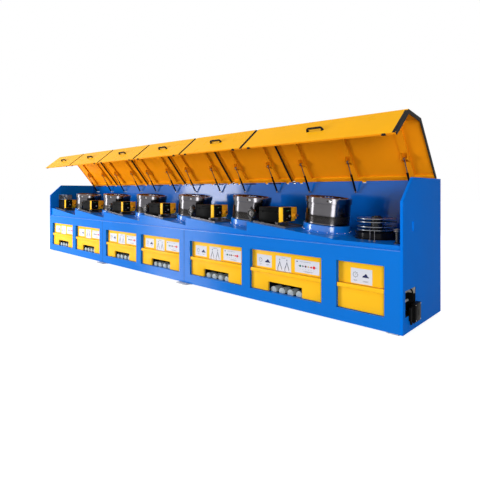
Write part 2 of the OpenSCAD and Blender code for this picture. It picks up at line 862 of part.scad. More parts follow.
// The rib is closed below, but stays open round the strut's pin
module rib_webs() {
    foot = hood_height - hood_sheet - rib_depth;
    for (y = [[rib_front, hood_pivot_y - ear_length], [hood_pivot_y + ear_length, rib_rear]])
        translate([y[0], foot]) square([y[1] - y[0], rib_sheet]);
}

module hood_fittings(n) {
    start = hood_start(n);
    finish = hood_end(n);
    middle = (start + finish) / 2;
    flap_middle = (chamfer_foot + hood_edge) / 2;
    color(black) placed() hood_swung() {
        across(finish - seal_thickness, seal_thickness)
            polygon(hood_band(hood_sheet, hood_sheet + seal_depth, rib_rear, hood_edge + seal_lift));
        if (n < stations)
            across(finish - seal_thickness, seal_thickness + hood_gap - strip_clearance)
                polygon(hood_band(hood_sheet, hood_sheet + strip_depth, rib_rear, hood_edge));
        for (x = [start + bumper_inset, finish - bumper_inset - bumper_length])
            translate([x, hood_sheet, bumper_foot]) cube([bumper_length, bumper_thickness, bumper_height]);
        for (side = [-1, 1])
            translate([middle + side * (handle_length - handle_bar) / 2 - handle_bar / 2,
                -handle_reach, flap_middle - handle_bar / 2])
                cube([handle_bar, handle_reach, handle_bar]);
        translate([middle - handle_length / 2, -handle_reach, flap_middle - handle_bar / 2])
            cube([handle_length, handle_bar, handle_bar]);
    }
}

// Gas struts: the tube turns on the wall, the rod slides in it and ends in an eye at the hood
module on_strut(x) {
    translate([x, wall_pivot_y, wall_pivot_z]) rotate([strut_lean, 0, 0]) children();
}

module strut_brackets() {
    gap = eye_thickness / 2 + bracket_gap;
    color(steel) placed()
        for (n = [1:stations], x = strut_places(n)) {
            for (side = [-1, 1])
                translate([x + side * (gap + bracket_cheek / 2) - bracket_cheek / 2, 0, 0]) {
                    translate([0, wall_pivot_y, wall_pivot_z - tube_eye_radius])
                        cube([bracket_cheek, wall_y - wall_pivot_y, 2 * tube_eye_radius]);
                    translate([0, wall_pivot_y, wall_pivot_z]) rotate([0, 90, 0])
                        cylinder(r = tube_eye_radius, h = bracket_cheek);
                }
            translate([x - gap - bracket_cheek, wall_pivot_y, wall_pivot_z]) rotate([0, 90, 0])
                cylinder(r = strut_pin_radius, h = 2 * (gap + bracket_cheek));
        }
}

module strut_tubes(n) {
    bore_foot = tube_length - rod_hold - rod_travel - rod_end_gap;
    color(black) placed()
        for (x = strut_places(n)) on_strut(x) difference() {
            union() {
                translate([0, 0, tube_foot]) cylinder(r = tube_radius, h = tube_length - tube_foot);
                translate([-eye_thickness / 2, 0, 0]) rotate([0, 90, 0])
                    cylinder(r = tube_eye_radius, h = eye_thickness);
                translate([-eye_thickness / 2, -tube_neck / 2, 0])
                    cube([eye_thickness, tube_neck, tube_foot + eps]);
            }
            translate([-eye_thickness, 0, 0]) rotate([0, 90, 0])
                cylinder(r = strut_pin_radius + running_clearance, h = 2 * eye_thickness);
            translate([0, 0, bore_foot])
                cylinder(r = rod_radius + running_clearance, h = tube_length);
        }
}

module strut_rods(n) {
    color(steel) placed()
        for (x = strut_places(n)) on_strut(x) difference() {
            union() {
                translate([0, 0, tube_length - rod_hold])
                    cylinder(r = rod_radius,
                        h = strut_length - tube_length + rod_hold - eye_radius + eye_wall / 2);
                translate([-eye_thickness / 2, 0, strut_length]) rotate([0, 90, 0])
                    cylinder(r = eye_radius, h = eye_thickness);
            }
            translate([-eye_thickness, 0, strut_length]) rotate([0, 90, 0])
                cylinder(r = strut_pin_radius + eye_play, h = 2 * eye_thickness);
        }
}

base_module(1, 2);  // base_module_1
base_module(3, 4);  // base_module_2
base_module(5, 6);  // base_module_3
levelling_feet();
front_ledge();
front_panels(true);  // front_panels_upper
front_panels(false);  // front_panels_lower
window_pipes();
back_wall();
end_plate(0, false);  // end_plate_inlet
end_plate(total_length - plate_thickness, true);  // end_plate_outlet
outlet_cable_box();
service_fittings();
drum_collars();
drip_trays();
die_box_covers();
die_box_blocks();
die_lubricators();
die_holders();
die_nozzles();
inlet_guide();
wire_guides();
guide_rollers();
takeoff_pedestal();
takeoff_hub();
takeoff_sheaves();
strut_brackets();
for (n = [1:stations]) {
    drum(n);
    hood(n);
    hood_fittings(n);
    strut_tubes(n);
    strut_rods(n);
}
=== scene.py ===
import bpy
import bmesh
from math import atan2, cos, pi, radians, sin, tan
from mathutils import Matrix, Vector


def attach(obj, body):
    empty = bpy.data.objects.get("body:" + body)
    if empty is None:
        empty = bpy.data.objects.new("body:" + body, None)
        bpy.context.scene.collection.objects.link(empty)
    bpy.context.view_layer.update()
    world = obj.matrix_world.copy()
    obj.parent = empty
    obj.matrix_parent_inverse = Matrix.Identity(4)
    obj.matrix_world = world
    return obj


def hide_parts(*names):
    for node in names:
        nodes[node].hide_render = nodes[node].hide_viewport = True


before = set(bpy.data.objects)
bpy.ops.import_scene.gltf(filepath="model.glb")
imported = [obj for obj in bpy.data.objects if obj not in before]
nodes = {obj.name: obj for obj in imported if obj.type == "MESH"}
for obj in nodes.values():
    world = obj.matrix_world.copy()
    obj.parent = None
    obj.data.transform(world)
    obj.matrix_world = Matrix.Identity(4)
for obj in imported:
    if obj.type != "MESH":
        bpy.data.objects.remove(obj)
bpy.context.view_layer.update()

# The camera stands near the outlet end at eye height and looks along the front of the machine, level,
# with the small shift that sets the machine as high in the picture as it is in the photograph.
camera_data = bpy.data.cameras.new("camera")
camera_data.lens = 30.14
camera_data.shift_y = -0.1018
camera_data.clip_end = 200


def placed(name, data):
    """Puts a new object with this data into the scene."""
    thing = bpy.data.objects.new(name, data)
    bpy.context.scene.collection.objects.link(thing)
    return thing


camera = placed("camera", camera_data)
camera.location = (6.2921, -4.8267, 1.5544)
camera.rotation_euler = (radians(90), 0, radians(43.39))
bpy.context.scene.camera = camera

# The base is three closed sheet-steel modules on welded frames, sprayed in glossy blue, with a rounded
# ledge along the front. The machine is measured in millimetres from its inlet end, its base front and
# the floor, and the frame's origin lies under the middle of its box.
stations, pitch, plate, takeoff_length = 6, 1400, 30, 840
total_length = stations * pitch + takeoff_length + 2 * plate
takeoff_start = plate + stations * pitch
every_station, every_joint = range(1, stations + 1), range(1, stations)
base_depth, base_height, wall_front = 1230, 905, 1180
deck_high, deck_slope, takeoff_deck = 1110, radians(5.4), 968
machine_middle = Vector((4676.0, 551.9925, 0))


def station(n):
    return plate + (n - 1) * pitch


def deck_height(x):
    return deck_high - x * tan(deck_slope)


def moved(x=0, y=0, z=0):
    return Matrix.Translation((x, y, z))


def on_deck(n, x, y):
    return moved(station(n) + x, y, deck_height(x)) @ Matrix.Rotation(deck_slope, 4, "Y")


def around(count, radius, first=0.0):
    """Places evenly spaced on a circle, each as its two coordinates."""
    angles = [2 * pi * (first + k) / count for k in range(count)]
    return [(radius * cos(a), radius * sin(a)) for a in angles]


def closed(shape, piece, colour=0):
    """Adds one closed solid to the piece, with its faces turned outwards."""
    bmesh.ops.remove_doubles(shape, verts=shape.verts, dist=0.001)
    bmesh.ops.recalc_face_normals(shape, faces=shape.faces)
    for face in shape.faces:
        face.material_index = colour
    mesh = bpy.data.meshes.new("solid")
    shape.to_mesh(mesh)
    shape.free()
    piece.from_mesh(mesh)
    bpy.data.meshes.remove(mesh)


def block(piece, low, high, edge=2.0, place=None, colour=0, steps=2):
    """A block of metal with its edges rounded, between two corners."""
    shape = bmesh.new()
    low, high = Vector(low), Vector(high)
    bmesh.ops.create_cube(shape, size=1, matrix=Matrix.Translation((low + high) / 2)
                          @ Matrix.Diagonal((*(high - low), 1)))
    if edge:
        bmesh.ops.bevel(shape, geom=shape.edges[:], offset=min(edge, min(high - low) * 0.45),
                        segments=steps, affect="EDGES", profile=0.5)
    if place:
        shape.transform(place)
    closed(shape, piece, colour)


def plate_cut(piece, outline, thick, place, edge=0.0, colour=0, steps=2):
    """A plate cut to an outline in its own XY and thick along its own Z."""
    shape = bmesh.new()
    face = shape.faces.new([shape.verts.new((x, y, 0)) for x, y in outline])
    raised = bmesh.ops.extrude_face_region(shape, geom=[face])["geom"]
    corners = [v for v in raised if isinstance(v, bmesh.types.BMVert)]
    bmesh.ops.translate(shape, vec=(0, 0, thick), verts=corners)
    if edge:
        bmesh.ops.bevel(shape, geom=shape.edges[:], offset=edge, segments=steps, affect="EDGES", profile=0.5)
    shape.transform(place)
    closed(shape, piece, colour)


def turned(piece, profile, place, steps=48, colour=0):
    """A turned part: a closed outline of (radius, height) spun about its own Z."""
    shape = bmesh.new()
    rings = []
    for r, z in profile:
        if r < 0.01:
            rings.append([shape.verts.new((0, 0, z))] * steps)
        else:
            rings.append([shape.verts.new((x, y, z)) for x, y in around(steps, r)])
    for ring, following in zip(rings, rings[1:] + rings[:1]):
        for i in range(steps):
            j = (i + 1) % steps
            corners = []
            for v in (ring[i], ring[j], following[j], following[i]):
                if v not in corners:
                    corners.append(v)
            if len(corners) > 2:
                shape.faces.new(corners)
    shape.transform(place)
    closed(shape, piece, colour)


def disc(piece, radius, height, place, steps=20, colour=0):
    """A disc, or a nut where it has six steps, that stands on its own XY."""
    turned(piece, [(0, 0), (radius, 0), (radius, height), (0, height)], place, steps, colour)


def rod(piece, points, radius, steps=12, colour=0, place=None):
    """A bar or pipe of round section along a line of points."""
    shape = bmesh.new()
    points = [Vector(p) for p in points]
    rings, side = [], None
    for i, p in enumerate(points):
        along = (points[min(i + 1, len(points) - 1)] - points[max(i - 1, 0)]).normalized()
        if side is None:
            side = along.orthogonal().normalized()
        side = (side - along * side.dot(along)).normalized()
        other = along.cross(side)
        rings.append([shape.verts.new(p + radius * (side * c + other * s)) for c, s in around(steps, 1)])
    for ring, following in zip(rings, rings[1:]):
        for k in range(steps):
            shape.faces.new((ring[k], ring[(k + 1) % steps], following[(k + 1) % steps], following[k]))
    shape.faces.new(rings[0])
    shape.faces.new(rings[-1][::-1])
    if place:
        shape.transform(place)
    closed(shape, piece, colour)


def fit_piece(piece, name, finishes, replaces=(), body="frame", crease=35):
    """Turns the gathered solids into one object in the shared frame, riding on its body."""
    mesh = bpy.data.meshes.new(name)
    piece.transform(Matrix.Scale(0.001, 4) @ Matrix.Translation(-machine_middle))
    piece.to_mesh(mesh)
    piece.free()
    mesh.shade_smooth()
    mesh.set_sharp_from_angle(angle=radians(crease))
    thing = placed(name, mesh)
    for finish in finishes:
        mesh.materials.append(finish)
    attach(thing, body)
    if replaces:
        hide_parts(*replaces)
    return thing


def filled(made, **values):
    """Sets a node's inputs, which are named with an underline for each space."""
    for name, value in values.items():
        made.inputs[name.replace("_", " ")].default_value = value
    return made


def node(tree, kind, **values):
    return filled(tree.nodes.new(kind), **values)


def join(tree, *links):
    """Links nodes. Each link is a node and its output, then the next node and its input."""
    for source, output, target, entry in links:
        tree.links.new(source.outputs[output], target.inputs[entry])


def coating(name, colour, roughness, metal=0.0, shine=0.25, ripple=0.02, ripple_size=30.0, mottle=0.08,
            grain_size=3.0, ior=1.5):
    """A surface finish: a base colour with a little mottle, uneven gloss and a faint ripple."""
    finish = bpy.data.materials.new(name)
    finish.use_nodes = True
    finish.diffuse_color = (*colour, 1)
    tree = finish.node_tree
    shader = filled(tree.nodes["Principled BSDF"], Metallic=metal, Specular_IOR_Level=shine, IOR=ior)
    place = node(tree, "ShaderNodeTexCoord")
    grain = node(tree, "ShaderNodeTexNoise", Scale=grain_size, Detail=5.0)
    shade = node(tree, "ShaderNodeMapRange", To_Min=1 - mottle, To_Max=1 + mottle * 0.5)
    tint = node(tree, "ShaderNodeVectorMath")
    tint.operation = "SCALE"
    tint.inputs[0].default_value = colour
    gloss = node(tree, "ShaderNodeMapRange", To_Min=roughness * 0.8, To_Max=roughness * 1.25)
    join(tree, (place, "Object", grain, "Vector"), (grain, "Fac", shade, "Value"),
         (shade, "Result", tint, "Scale"), (tint, "Vector", shader, "Base Color"),
         (grain, "Fac", gloss, "Value"), (gloss, "Result", shader, "Roughness"))
    if ripple:
        waves = node(tree, "ShaderNodeTexNoise", Scale=ripple_size)
        relief = node(tree, "ShaderNodeBump", Strength=ripple, Distance=0.01)
        join(tree, (place, "Object", waves, "Vector"), (waves, "Fac", relief, "Height"),
             (relief, "Normal", shader, "Normal"))
    return finish


def dress(finish, *names):
    """Gives CAD nodes their finish."""
    for name in names:
        for place in nodes[name].material_slots:
            place.material = finish


base_blue, paint_ripple = (0.002, 0.160, 0.62), dict(ripple=0.03, ripple_size=9)
blue_gloss = coating("blue gloss paint", base_blue, 0.15, shine=0.4, ior=1.2, **paint_ripple)
edge_gloss = coating("blue edge paint", base_blue, 0.3, shine=0.9, **paint_ripple)
dress(blue_gloss, "base_module_1", "base_module_2", "base_module_3")
dress(edge_gloss, "front_ledge")

# Flat steel feet carry each module's ends. Their tops are painted light grey, and zinc screws hold them
# at the front. Where two modules meet, a dark joint shows between them, and a plate on the floor reaches
# out in front with a screw on each side.
light_grey = coating("light grey paint", (0.55, 0.56, 0.58), 0.45)
zinc = coating("bright zinc", (0.50, 0.51, 0.53), 0.28, metal=1.0, ripple=0.05, ripple_size=60)
joint_dark = coating("dark joint", (0.01, 0.02, 0.05), 0.6, shine=0.1)
dress(light_grey, "levelling_feet")
foot_length, foot_width, foot_height, foot_inset = 140, 110, 20, 20
module_starts = [station(n) for n in (1, 3, 5)]
module_ends = [station(3), station(5), total_length - plate]


def growth_tree(name, inputs):
    """Starts a node tree with these inputs, and gives it back with the node that brings them."""
    tree = bpy.data.node_groups.new(name, "GeometryNodeTree")
    for label, kind in inputs:
        tree.interface.new_socket(label, in_out="INPUT", socket_type="NodeSocket" + kind)
    return tree, node(tree, "NodeGroupInput")


def finished_tree(tree, last, output, finish):
    """Makes real what a node tree grows and gives it its finish."""
    tree.interface.new_socket("Geometry", in_out="OUTPUT", socket_type="NodeSocketGeometry")
    real = node(tree, "GeometryNodeRealizeInstances")
    painted = node(tree, "GeometryNodeSetMaterial", Material=finish)
    join(tree, (last, output, real, "Geometry"), (real, "Geometry", painted, "Geometry"),
         (painted, "Geometry", node(tree, "NodeGroupOutput"), "Geometry"))
    return tree


def screw_tree(finish):
    """Nodes that set a screw head on every point, standing along the point's own direction."""
    tree, given = growth_tree("screw heads in " + finish.name, (
        ("Geometry", "Geometry"), ("Head radius", "Float"), ("Head height", "Float"), ("Sides", "Int")))
    head, raised, half, lift, turn, spread = (node(tree, kind) for kind in (
        "GeometryNodeMeshCylinder", "GeometryNodeTransform", "ShaderNodeMath", "ShaderNodeCombineXYZ",
        "FunctionNodeAlignRotationToVector", "GeometryNodeInstanceOnPoints"))
    half.operation = "MULTIPLY"
    half.inputs[1].default_value = 0.5
    aim = node(tree, "GeometryNodeInputNamedAttribute", Name="aim")
    aim.data_type = "FLOAT_VECTOR"
    turn.axis = "Z"
    join(tree, (given, "Head radius", head, "Radius"), (given, "Head height", head, "Depth"),
         (given, "Sides", head, "Vertices"), (given, "Head height", half, 0), (half, 0, lift, "Z"),
         (head, "Mesh", raised, "Geometry"), (lift, 0, raised, "Translation"),
         (aim, "Attribute", turn, "Vector"), (given, "Geometry", spread, "Points"),
         (raised, "Geometry", spread, "Instance"), (turn, "Rotation", spread, "Rotation"))
    return finished_tree(tree, spread, "Instances", finish)


def grown(seed, tree, sizes):
    """Runs a node tree on the seed mesh and returns the result as a plain mesh."""
    thing = placed("grown", seed)
    growth = thing.modifiers.new("growth", "NODES")
    growth.node_group = tree
    sockets = {item.name: item.identifier for item in tree.interface.items_tree if item.in_out == "INPUT"}
    for label, value in sizes.items():
        growth[sockets[label]] = value
    bpy.context.view_layer.update()
    result = bpy.data.meshes.new_from_object(thing.evaluated_get(bpy.context.evaluated_depsgraph_get()))
    thing.modifiers.remove(growth)
    bpy.data.objects.remove(thing)
    bpy.data.meshes.remove(seed)
    return result


def screws(name, places, tree, radius, height, sides, body="frame"):
    """Screw heads at places given as point and direction, as one piece on a body."""
    seed = bpy.data.meshes.new("screw places")
    seed.from_pydata([tuple(point) for point, way in places], [], [])
    aims = seed.attributes.new("aim", "FLOAT_VECTOR", "POINT")
    for item, (point, way) in zip(aims.data, places):
        item.vector = way
    heads = grown(seed, tree, {"Head radius": radius, "Head height": height, "Sides": sides})
    piece = bmesh.new()
    piece.from_mesh(heads)
    finish = heads.materials[0]
    bpy.data.meshes.remove(heads)
    return fit_piece(piece, name, [finish], body=body)


zinc_screws = screw_tree(zinc)
foot_places = [(x + foot_length / 2, y + foot_width / 2) for start, end in zip(module_starts, module_ends)
               for x in (start + foot_inset, end - foot_inset - foot_length)
               for y in (foot_inset, base_depth - foot_inset - foot_width)]
foot_edges = bmesh.new()
for x, y in foot_places:
    block(foot_edges, (x - foot_length / 2, y - foot_width / 2, 0),
          (x + foot_length / 2, y + foot_width / 2, foot_height), 3)
fit_piece(foot_edges, "feet_plates", [light_grey], ["levelling_feet"])
front_screws = [((x + side * 55, foot_inset - 0.5, foot_height / 2), (0, -1, 0)) for x, y in foot_places
                if y < base_depth / 2 for side in (-1, 1)]
joint_offset, joint_half, joint_front, joint_thick = 5, 130, -82, 17
joint_screw_half, joint_screw_y, seam_half = 80, -42, 3
joint_plates, seams, plate_screws = bmesh.new(), bmesh.new(), []
for x in module_starts[1:]:
    middle = x + joint_offset
    block(joint_plates, (middle - joint_half, joint_front, 0),
          (middle + joint_half, foot_inset - 1, joint_thick), 2.5)
    block(seams, (x - seam_half, -0.8, foot_height), (x + seam_half, 1, base_height - 2), 0)
    plate_screws += [((middle + side * joint_screw_half, joint_screw_y, joint_thick - 0.5), (0, 0, 1))
                     for side in (-1, 1)]
fit_piece(joint_plates, "joint_plates", [light_grey])
fit_piece(seams, "joint_seams", [joint_dark])
screws("joint_plate_screws", plate_screws, zinc_screws, 9, 7, 6)
screws("feet_screws", front_screws, zinc_screws, 6, 5, 6)

# Yellow sheet panels close the base front: an upper one set back, a lower one that stands forward,
# and a folded lip between them. They hang in their openings on hidden studs.
yellow_panel = coating("yellow panel paint", (0.96, 0.51, 0.014), 0.30, shine=0.12)
panel_width, takeoff_panel_width = 1180, 590
odd_panel_offset, even_panel_offset, takeoff_panel_offset = 150, 90, 75
panel_foot, panel_split, panel_top, panel_gap = 172, 472, 732, 4
upper_face, lower_face, lip_front, panel_back, lip_height = 50, 34, 9, 70, 50
window_width, window_height = 564, 134
panel_starts = [station(n) + (odd_panel_offset if n % 2 else even_panel_offset) for n in every_station]
panel_places = [(x, panel_width, True) for x in panel_starts]
panel_places.append((takeoff_start + takeoff_panel_offset, takeoff_panel_width, False))
upright = Matrix.Rotation(radians(90), 4, "X")
upper, lower = bmesh.new(), bmesh.new()
for x, width, window in panel_places:
    left, right = x + panel_gap, x + width - panel_gap
    low, high = panel_foot + panel_gap, panel_split - 2
    block(upper, (left, upper_face, panel_split + 2), (right, panel_back, panel_top - panel_gap), 4)
    outline = [(left, low), (right, low), (right, high), (left, high)]
    if window:
        left_jamb = x + (width - window_width) / 2
        right_jamb, sill = left_jamb + window_width, panel_foot + window_height
        outline[1:1] = [(left_jamb, low), (left_jamb, sill), (right_jamb, sill), (right_jamb, low)]
    plate_cut(lower, outline, panel_back - lower_face, moved(0, panel_back, 0) @ upright, 3)
    block(lower, (left, lip_front, high - lip_height), (right, lower_face + 3, high), 7, steps=3)
fit_piece(upper, "panels_upper", [yellow_panel], ["front_panels_upper"])
fit_piece(lower, "panels_lower", [yellow_panel], ["front_panels_lower"])

# Pale enamelled plates are glued to the upper panels. They carry simple printed figures without words:
# a dial and a hump, two pairs of compasses, and a line of coloured dots.
plate_white = coating("sign plate white", (0.64, 0.65, 0.72), 0.35, ripple=0, mottle=0.02)
ink_colours = {"navy": (0.010, 0.013, 0.075), "slate": (0.06, 0.085, 0.11), "green": (0.012, 0.16, 0.11),
               "maroon": (0.11, 0.008, 0.045), "amber": (0.70, 0.42, 0.02), "red": (0.74, 0.02, 0.03)}
inks = list(ink_colours)
sign_finishes = [plate_white] + [coating(name + " ink", colour, 0.4, ripple=0, mottle=0.02)
                                 for name, colour in ink_colours.items()]
signs = bmesh.new()
sign_face, print_thick, print_sunk = upper_face - 1.2, 0.9, 0.4


def printed(outline, colour):
    """A printed figure on the plate's face, half a millimetre proud with its coat of lacquer."""
    plate_cut(signs, outline, print_thick, moved(0, sign_face + print_sunk, 0) @ upright,
              colour=1 + inks.index(colour))


def bar(x0, z0, x1, z1, colour):
    printed([(x0, z0), (x1, z0), (x1, z1), (x0, z1)], colour)


def dot(x, z, radius, colour, steps=20):
    printed([(x + a, z + b) for a, b in around(steps, radius)], colour)


def dial(x, z, radius, line=4):
    """A ring with eight ticks around it and a hand that points up to the right."""
    turned(signs, [(radius - line, 0), (radius, 0), (radius, print_thick), (radius - line, print_thick)],
           moved(x, sign_face + print_sunk, z) @ upright, 40, 1 + inks.index("slate"))
    for c, s in around(8, 1):
        printed([(x + c * (radius + out) - s * side, z + s * (radius + out) + c * side)
                 for out, side in ((2, 2), (2, -2), (9, -2), (9, 2))], "slate")
    printed([(x - 2, z - 2), (x + 2, z - 2), (x + 13, z + 18), (x + 10, z + 20)], "slate")


def hump(x, z, width, height):
    profile = [(-0.5, 0), (0.5, 0), (0.46, 0.22), (0.30, 0.36), (0.20, 0.72), (0.05, 1.0), (-0.10, 0.82),
               (-0.20, 0.55), (-0.40, 0.42)]
    printed([(x + a * width, z + b * height) for a, b in profile], "navy")


def compasses(x, z):
    """A pair of compasses: a knob, a stem, two bent legs and a short line under the left one."""
    dot(x, z + 136, 8, "navy")
    bar(x - 2, z + 104, x + 2, z + 130, "slate")
    left_leg = [(-4, 106), (2, 106), (-14, 49), (-27, 24), (-32, 0), (-39, 0), (-35, 29), (-21, 60)]
    right_leg = [(4, 106), (-2, 106), (14, 49), (25, 24), (29, 0), (36, 0), (33, 29), (21, 60)]
    for leg, colour in ((left_leg, "navy"), (right_leg, "slate")):
        printed([(x + a, z + b) for a, b in leg], colour)
    bar(x - 42, z - 12, x - 20, z - 7, "navy")


def small_lines(x, z, width):
    for row, share in enumerate((1.0, 0.7)):
        bar(x - width * share / 2, z - row * 8, x + width * share / 2, z - row * 8 + 2.5, "slate")


def sign_plate(x0, z0, x1, z1):
    block(signs, (x0, sign_face, z0), (x1, upper_face + 1, z1), 0.5, steps=1)


dot_sizes = (("green", 15), ("slate", 11), ("maroon", 14), ("amber", 10), ("red", 13), ("red", 20))
first_dot, dot_spacing = 835, 42
for x, width, window in panel_places:
    if window:
        sign_plate(x + 97, 498, x + 362, 665)
        dial(x + 163, 589, 27)
        hump(x + 290, 562, 96, 48)
        small_lines(x + 163, 535, 46)
        small_lines(x + 290, 535, 60)
        sign_plate(x + 433, 475, x + 689, 677)
        compasses(x + 501, 496)
        compasses(x + 621, 496)
        small_lines(x + 561, 657, 90)
        sign_plate(x + 751, 497, x + 1123, 665)
        bar(x + 775, 634, x + 800, 646, "navy")
        bar(x + 830, 640, x + 1000, 643, "slate")
        bar(x + 800, 584, x + 1090, 587, "slate")
        for step, (colour, radius) in enumerate(dot_sizes):
            middle = x + first_dot + step * dot_spacing
            dot(middle, 585.5, radius, colour)
            bar(middle - 6, 545, middle + 6, 548, "slate")
        small_lines(x + 960, 522, 150)
    else:
        sign_plate(x + 168, 483, x + 431, 660)
        dial(x + 225, 585, 29)
        hump(x + 352, 562, 84, 46)
        small_lines(x + 225, 522, 52)
        small_lines(x + 352, 520, 72)
fit_piece(signs, "sign_plates", sign_finishes)

# Each window shows the ends of four grey water pipes, which come up out of the dark base and bend forward
# to the opening. They are capped plastic pipe, and the inside of the opening is lined in black as painted
# shade.
# A plain black for the insides of openings and for holes: painted shade.
shade_black = coating("black painted shade", (0.006, 0.006, 0.007), 0.8, shine=0.1, ripple=0)
pipe_grey = coating("grey pipe", (0.38, 0.43, 0.44), 0.34, ripple=0.1, ripple_size=50)
window_depth, sheet, pipe_radius, bend_radius, pipe_rise = 400, 2, 48.5, 52, 24
pipes, liner = bmesh.new(), bmesh.new()


def lined(piece, low, high, open_sides):
    """Sheets that line a box-shaped opening, but for its open sides, given as axis and end."""
    for axis, end in ((0, 0), (0, 1), (2, 0), (2, 1), (1, 0), (1, 1)):
        if (axis, end) not in open_sides:
            near, far = list(low), list(high)
            if end:
                near[axis] = high[axis] - sheet
            else:
                far[axis] = low[axis] + sheet
            block(piece, near, far, 0)


for start in panel_starts:
    left = start + (panel_width - window_width) / 2
    lined(liner, (left, panel_back, panel_foot),
          (left + window_width, window_depth, panel_foot + window_height), ((1, 0),))
    for i in range(4):
        x, y, z = left + (i + 0.5) * window_width / 4 - 1, panel_back + 120, panel_foot + pipe_rise
        bend = [(x, y + bend_radius * sin(a), z - bend_radius * (1 - cos(a)))
                for a in [radians(15 * k) for k in range(7)]]
        rod(pipes, [(x, panel_back + 3, z), *bend, (x, y + bend_radius, z - 80)], pipe_radius, 32)
        turned(pipes, [(0, -3), (39, -3), (44, 0), (44, 2), (0, 2)],
               moved(x, panel_back + 3, z) @ Matrix.Rotation(radians(-90), 4, "X"), 32)
fit_piece(liner, "window_liners", [shade_black])
fit_piece(pipes, "window_pipe_ends", [pipe_grey], ["window_pipes"])

# The back wall is one glossy blue sheet per module, its blue darker as painted shade under the hoods, and its
# top edge is folded into the rail on which the hoods turn. The end plates are thick blue steel, cut out for
# the wire and, at the outlet, for cables.
# Black rubber strips close the rail's gaps, and a rubber block stands on it between each two hoods.
blue_satin = coating("blue satin paint", (0.002, 0.165, 0.70), 0.3, shine=0.08, ior=1.08, **paint_ripple)
# The wall's blue is darker than the base's: painted shade under the open hoods.
blue_wall_shaded = coating("blue wall paint with painted shade", (0.002, 0.108, 0.48), 0.09, shine=0.4, ripple=0.015, ripple_size=3)
black_rubber_and_shade = coating("black rubber and painted shade", (0.010, 0.010, 0.010), 0.6, shine=0.1)
dress(blue_wall_shaded, "back_wall")
dress(blue_satin, "end_plate_inlet", "end_plate_outlet")
strip_low, strip_high = 1675, 1692
gap_strips = bmesh.new()
for n in every_joint:
    for start, length in ((215, 360), (880, 60), (955, 25), (1010, 130)):
        block(gap_strips, (station(n) + start, wall_front + 3, strip_low),
              (station(n) + start + length, wall_front + 7, strip_high), 0.8)
    block(gap_strips, (station(n + 1) - 9, wall_front + 5, strip_high - 2),
          (station(n + 1) + 38, wall_front + 35, strip_high + 20), 3)
fit_piece(gap_strips, "wall_gap_strips", [black_rubber_and_shade])

# Behind the outlet plate's opening stand two black contactor blocks on a light rail, under a beige
# back board, with one cable that bends down between them.
black_satin = coating("black satin paint", (0.005, 0.005, 0.005), 0.35, shine=0.3, ior=1.12)
beige_board = coating("beige board", (0.36, 0.34, 0.31), 0.5)
opening_y, opening_z, opening_width, opening_height = 62, 198, 302, 285
recess_depth, wide, tall = 177, opening_width - 3, opening_height - 3
recess, fittings = bmesh.new(), bmesh.new()
# The recess is lined in black as painted shade.
block(recess, (0.5, 0, 0), (2.5, opening_width, opening_height), 0)
lined(recess, (0, 0, 0), (recess_depth, opening_width, opening_height), ((0, 0), (0, 1)))
for foot, rise in ((2, 106), (134, 76)):
    block(fittings, (2, 8, foot), (94, wide, foot + rise), 3)
    block(fittings, (90, wide - 13, foot), (recess_depth - 26, wide, foot + rise), 3)
    for k in range(6):
        y = 34 + k * 45
        block(fittings, (92, y - 16, foot + 10), (99, y + 16, foot + rise - 8), 2)
block(fittings, (2, 8, 108), (102, wide, 134), 3, colour=1)
block(fittings, (3, wide - 3, 210), (recess_depth - 2, wide, tall), 1, colour=2)
block(fittings, (96, 3, 212), (100, wide, tall), 1, colour=2)
cable = ((90, 24), (112, 26), (130, 34), (144, 48), (152, 66), (154, 96))
rod(fittings, [(out, wide - 12, opening_height - down) for out, down in cable], 7)
for piece in (recess, fittings):
    piece.transform(moved(total_length - plate - 150, opening_y, opening_z))
fit_piece(recess, "service_recess", [shade_black])
fit_piece(fittings, "contactor_blocks", [black_satin, light_grey, beige_board],
          ["service_fittings"])

# The cable box is folded black sheet with a screwed lid, bolted to the outlet plate below the opening.
# A raised lip and four louvres are pressed into its lid, and three glands stand under it.
box_y, box_z, box_width, box_height, lid_y = 155, 120, 235, 198, 70
on_plate = moved(total_length, box_y, box_z)
cable_box = bmesh.new()
block(cable_box, (0, 0, 20), (26, lid_y + 4, box_height - 30), 3)
block(cable_box, (0, lid_y, 0), (40, box_width, box_height), 3)
block(cable_box, (38, lid_y + 3, 3), (42.5, box_width - 3, box_height - 3), 0.5)
block(cable_box, (42, lid_y, 0), (50, box_width, box_height), 3)
block(cable_box, (49, lid_y + 40, 30), (51.5, lid_y + 58, 160), 1)
for z in (60, 78, 96, 114):
    block(cable_box, (49, lid_y + 76, z), (51, box_width - 24, z + 8), 0.8)
for y in (36, 110, 190):
    rod(cable_box, [(14, y, 30), (14, y, -24)], 12, 18)
    disc(cable_box, 14, 9, moved(14, y, -11), 6)
cable_box.transform(on_plate)
fit_piece(cable_box, "cable_box", [black_satin], ["outlet_cable_box"])
lid_screws = [(on_plate @ Vector((49.5, y, z)), (1, 0, 0)) for y in (lid_y + 14, box_width - 14)
              for z in (14, box_height - 14)]
screws("cable_box_screws", lid_screws, zinc_screws, 5, 2.4, 12)

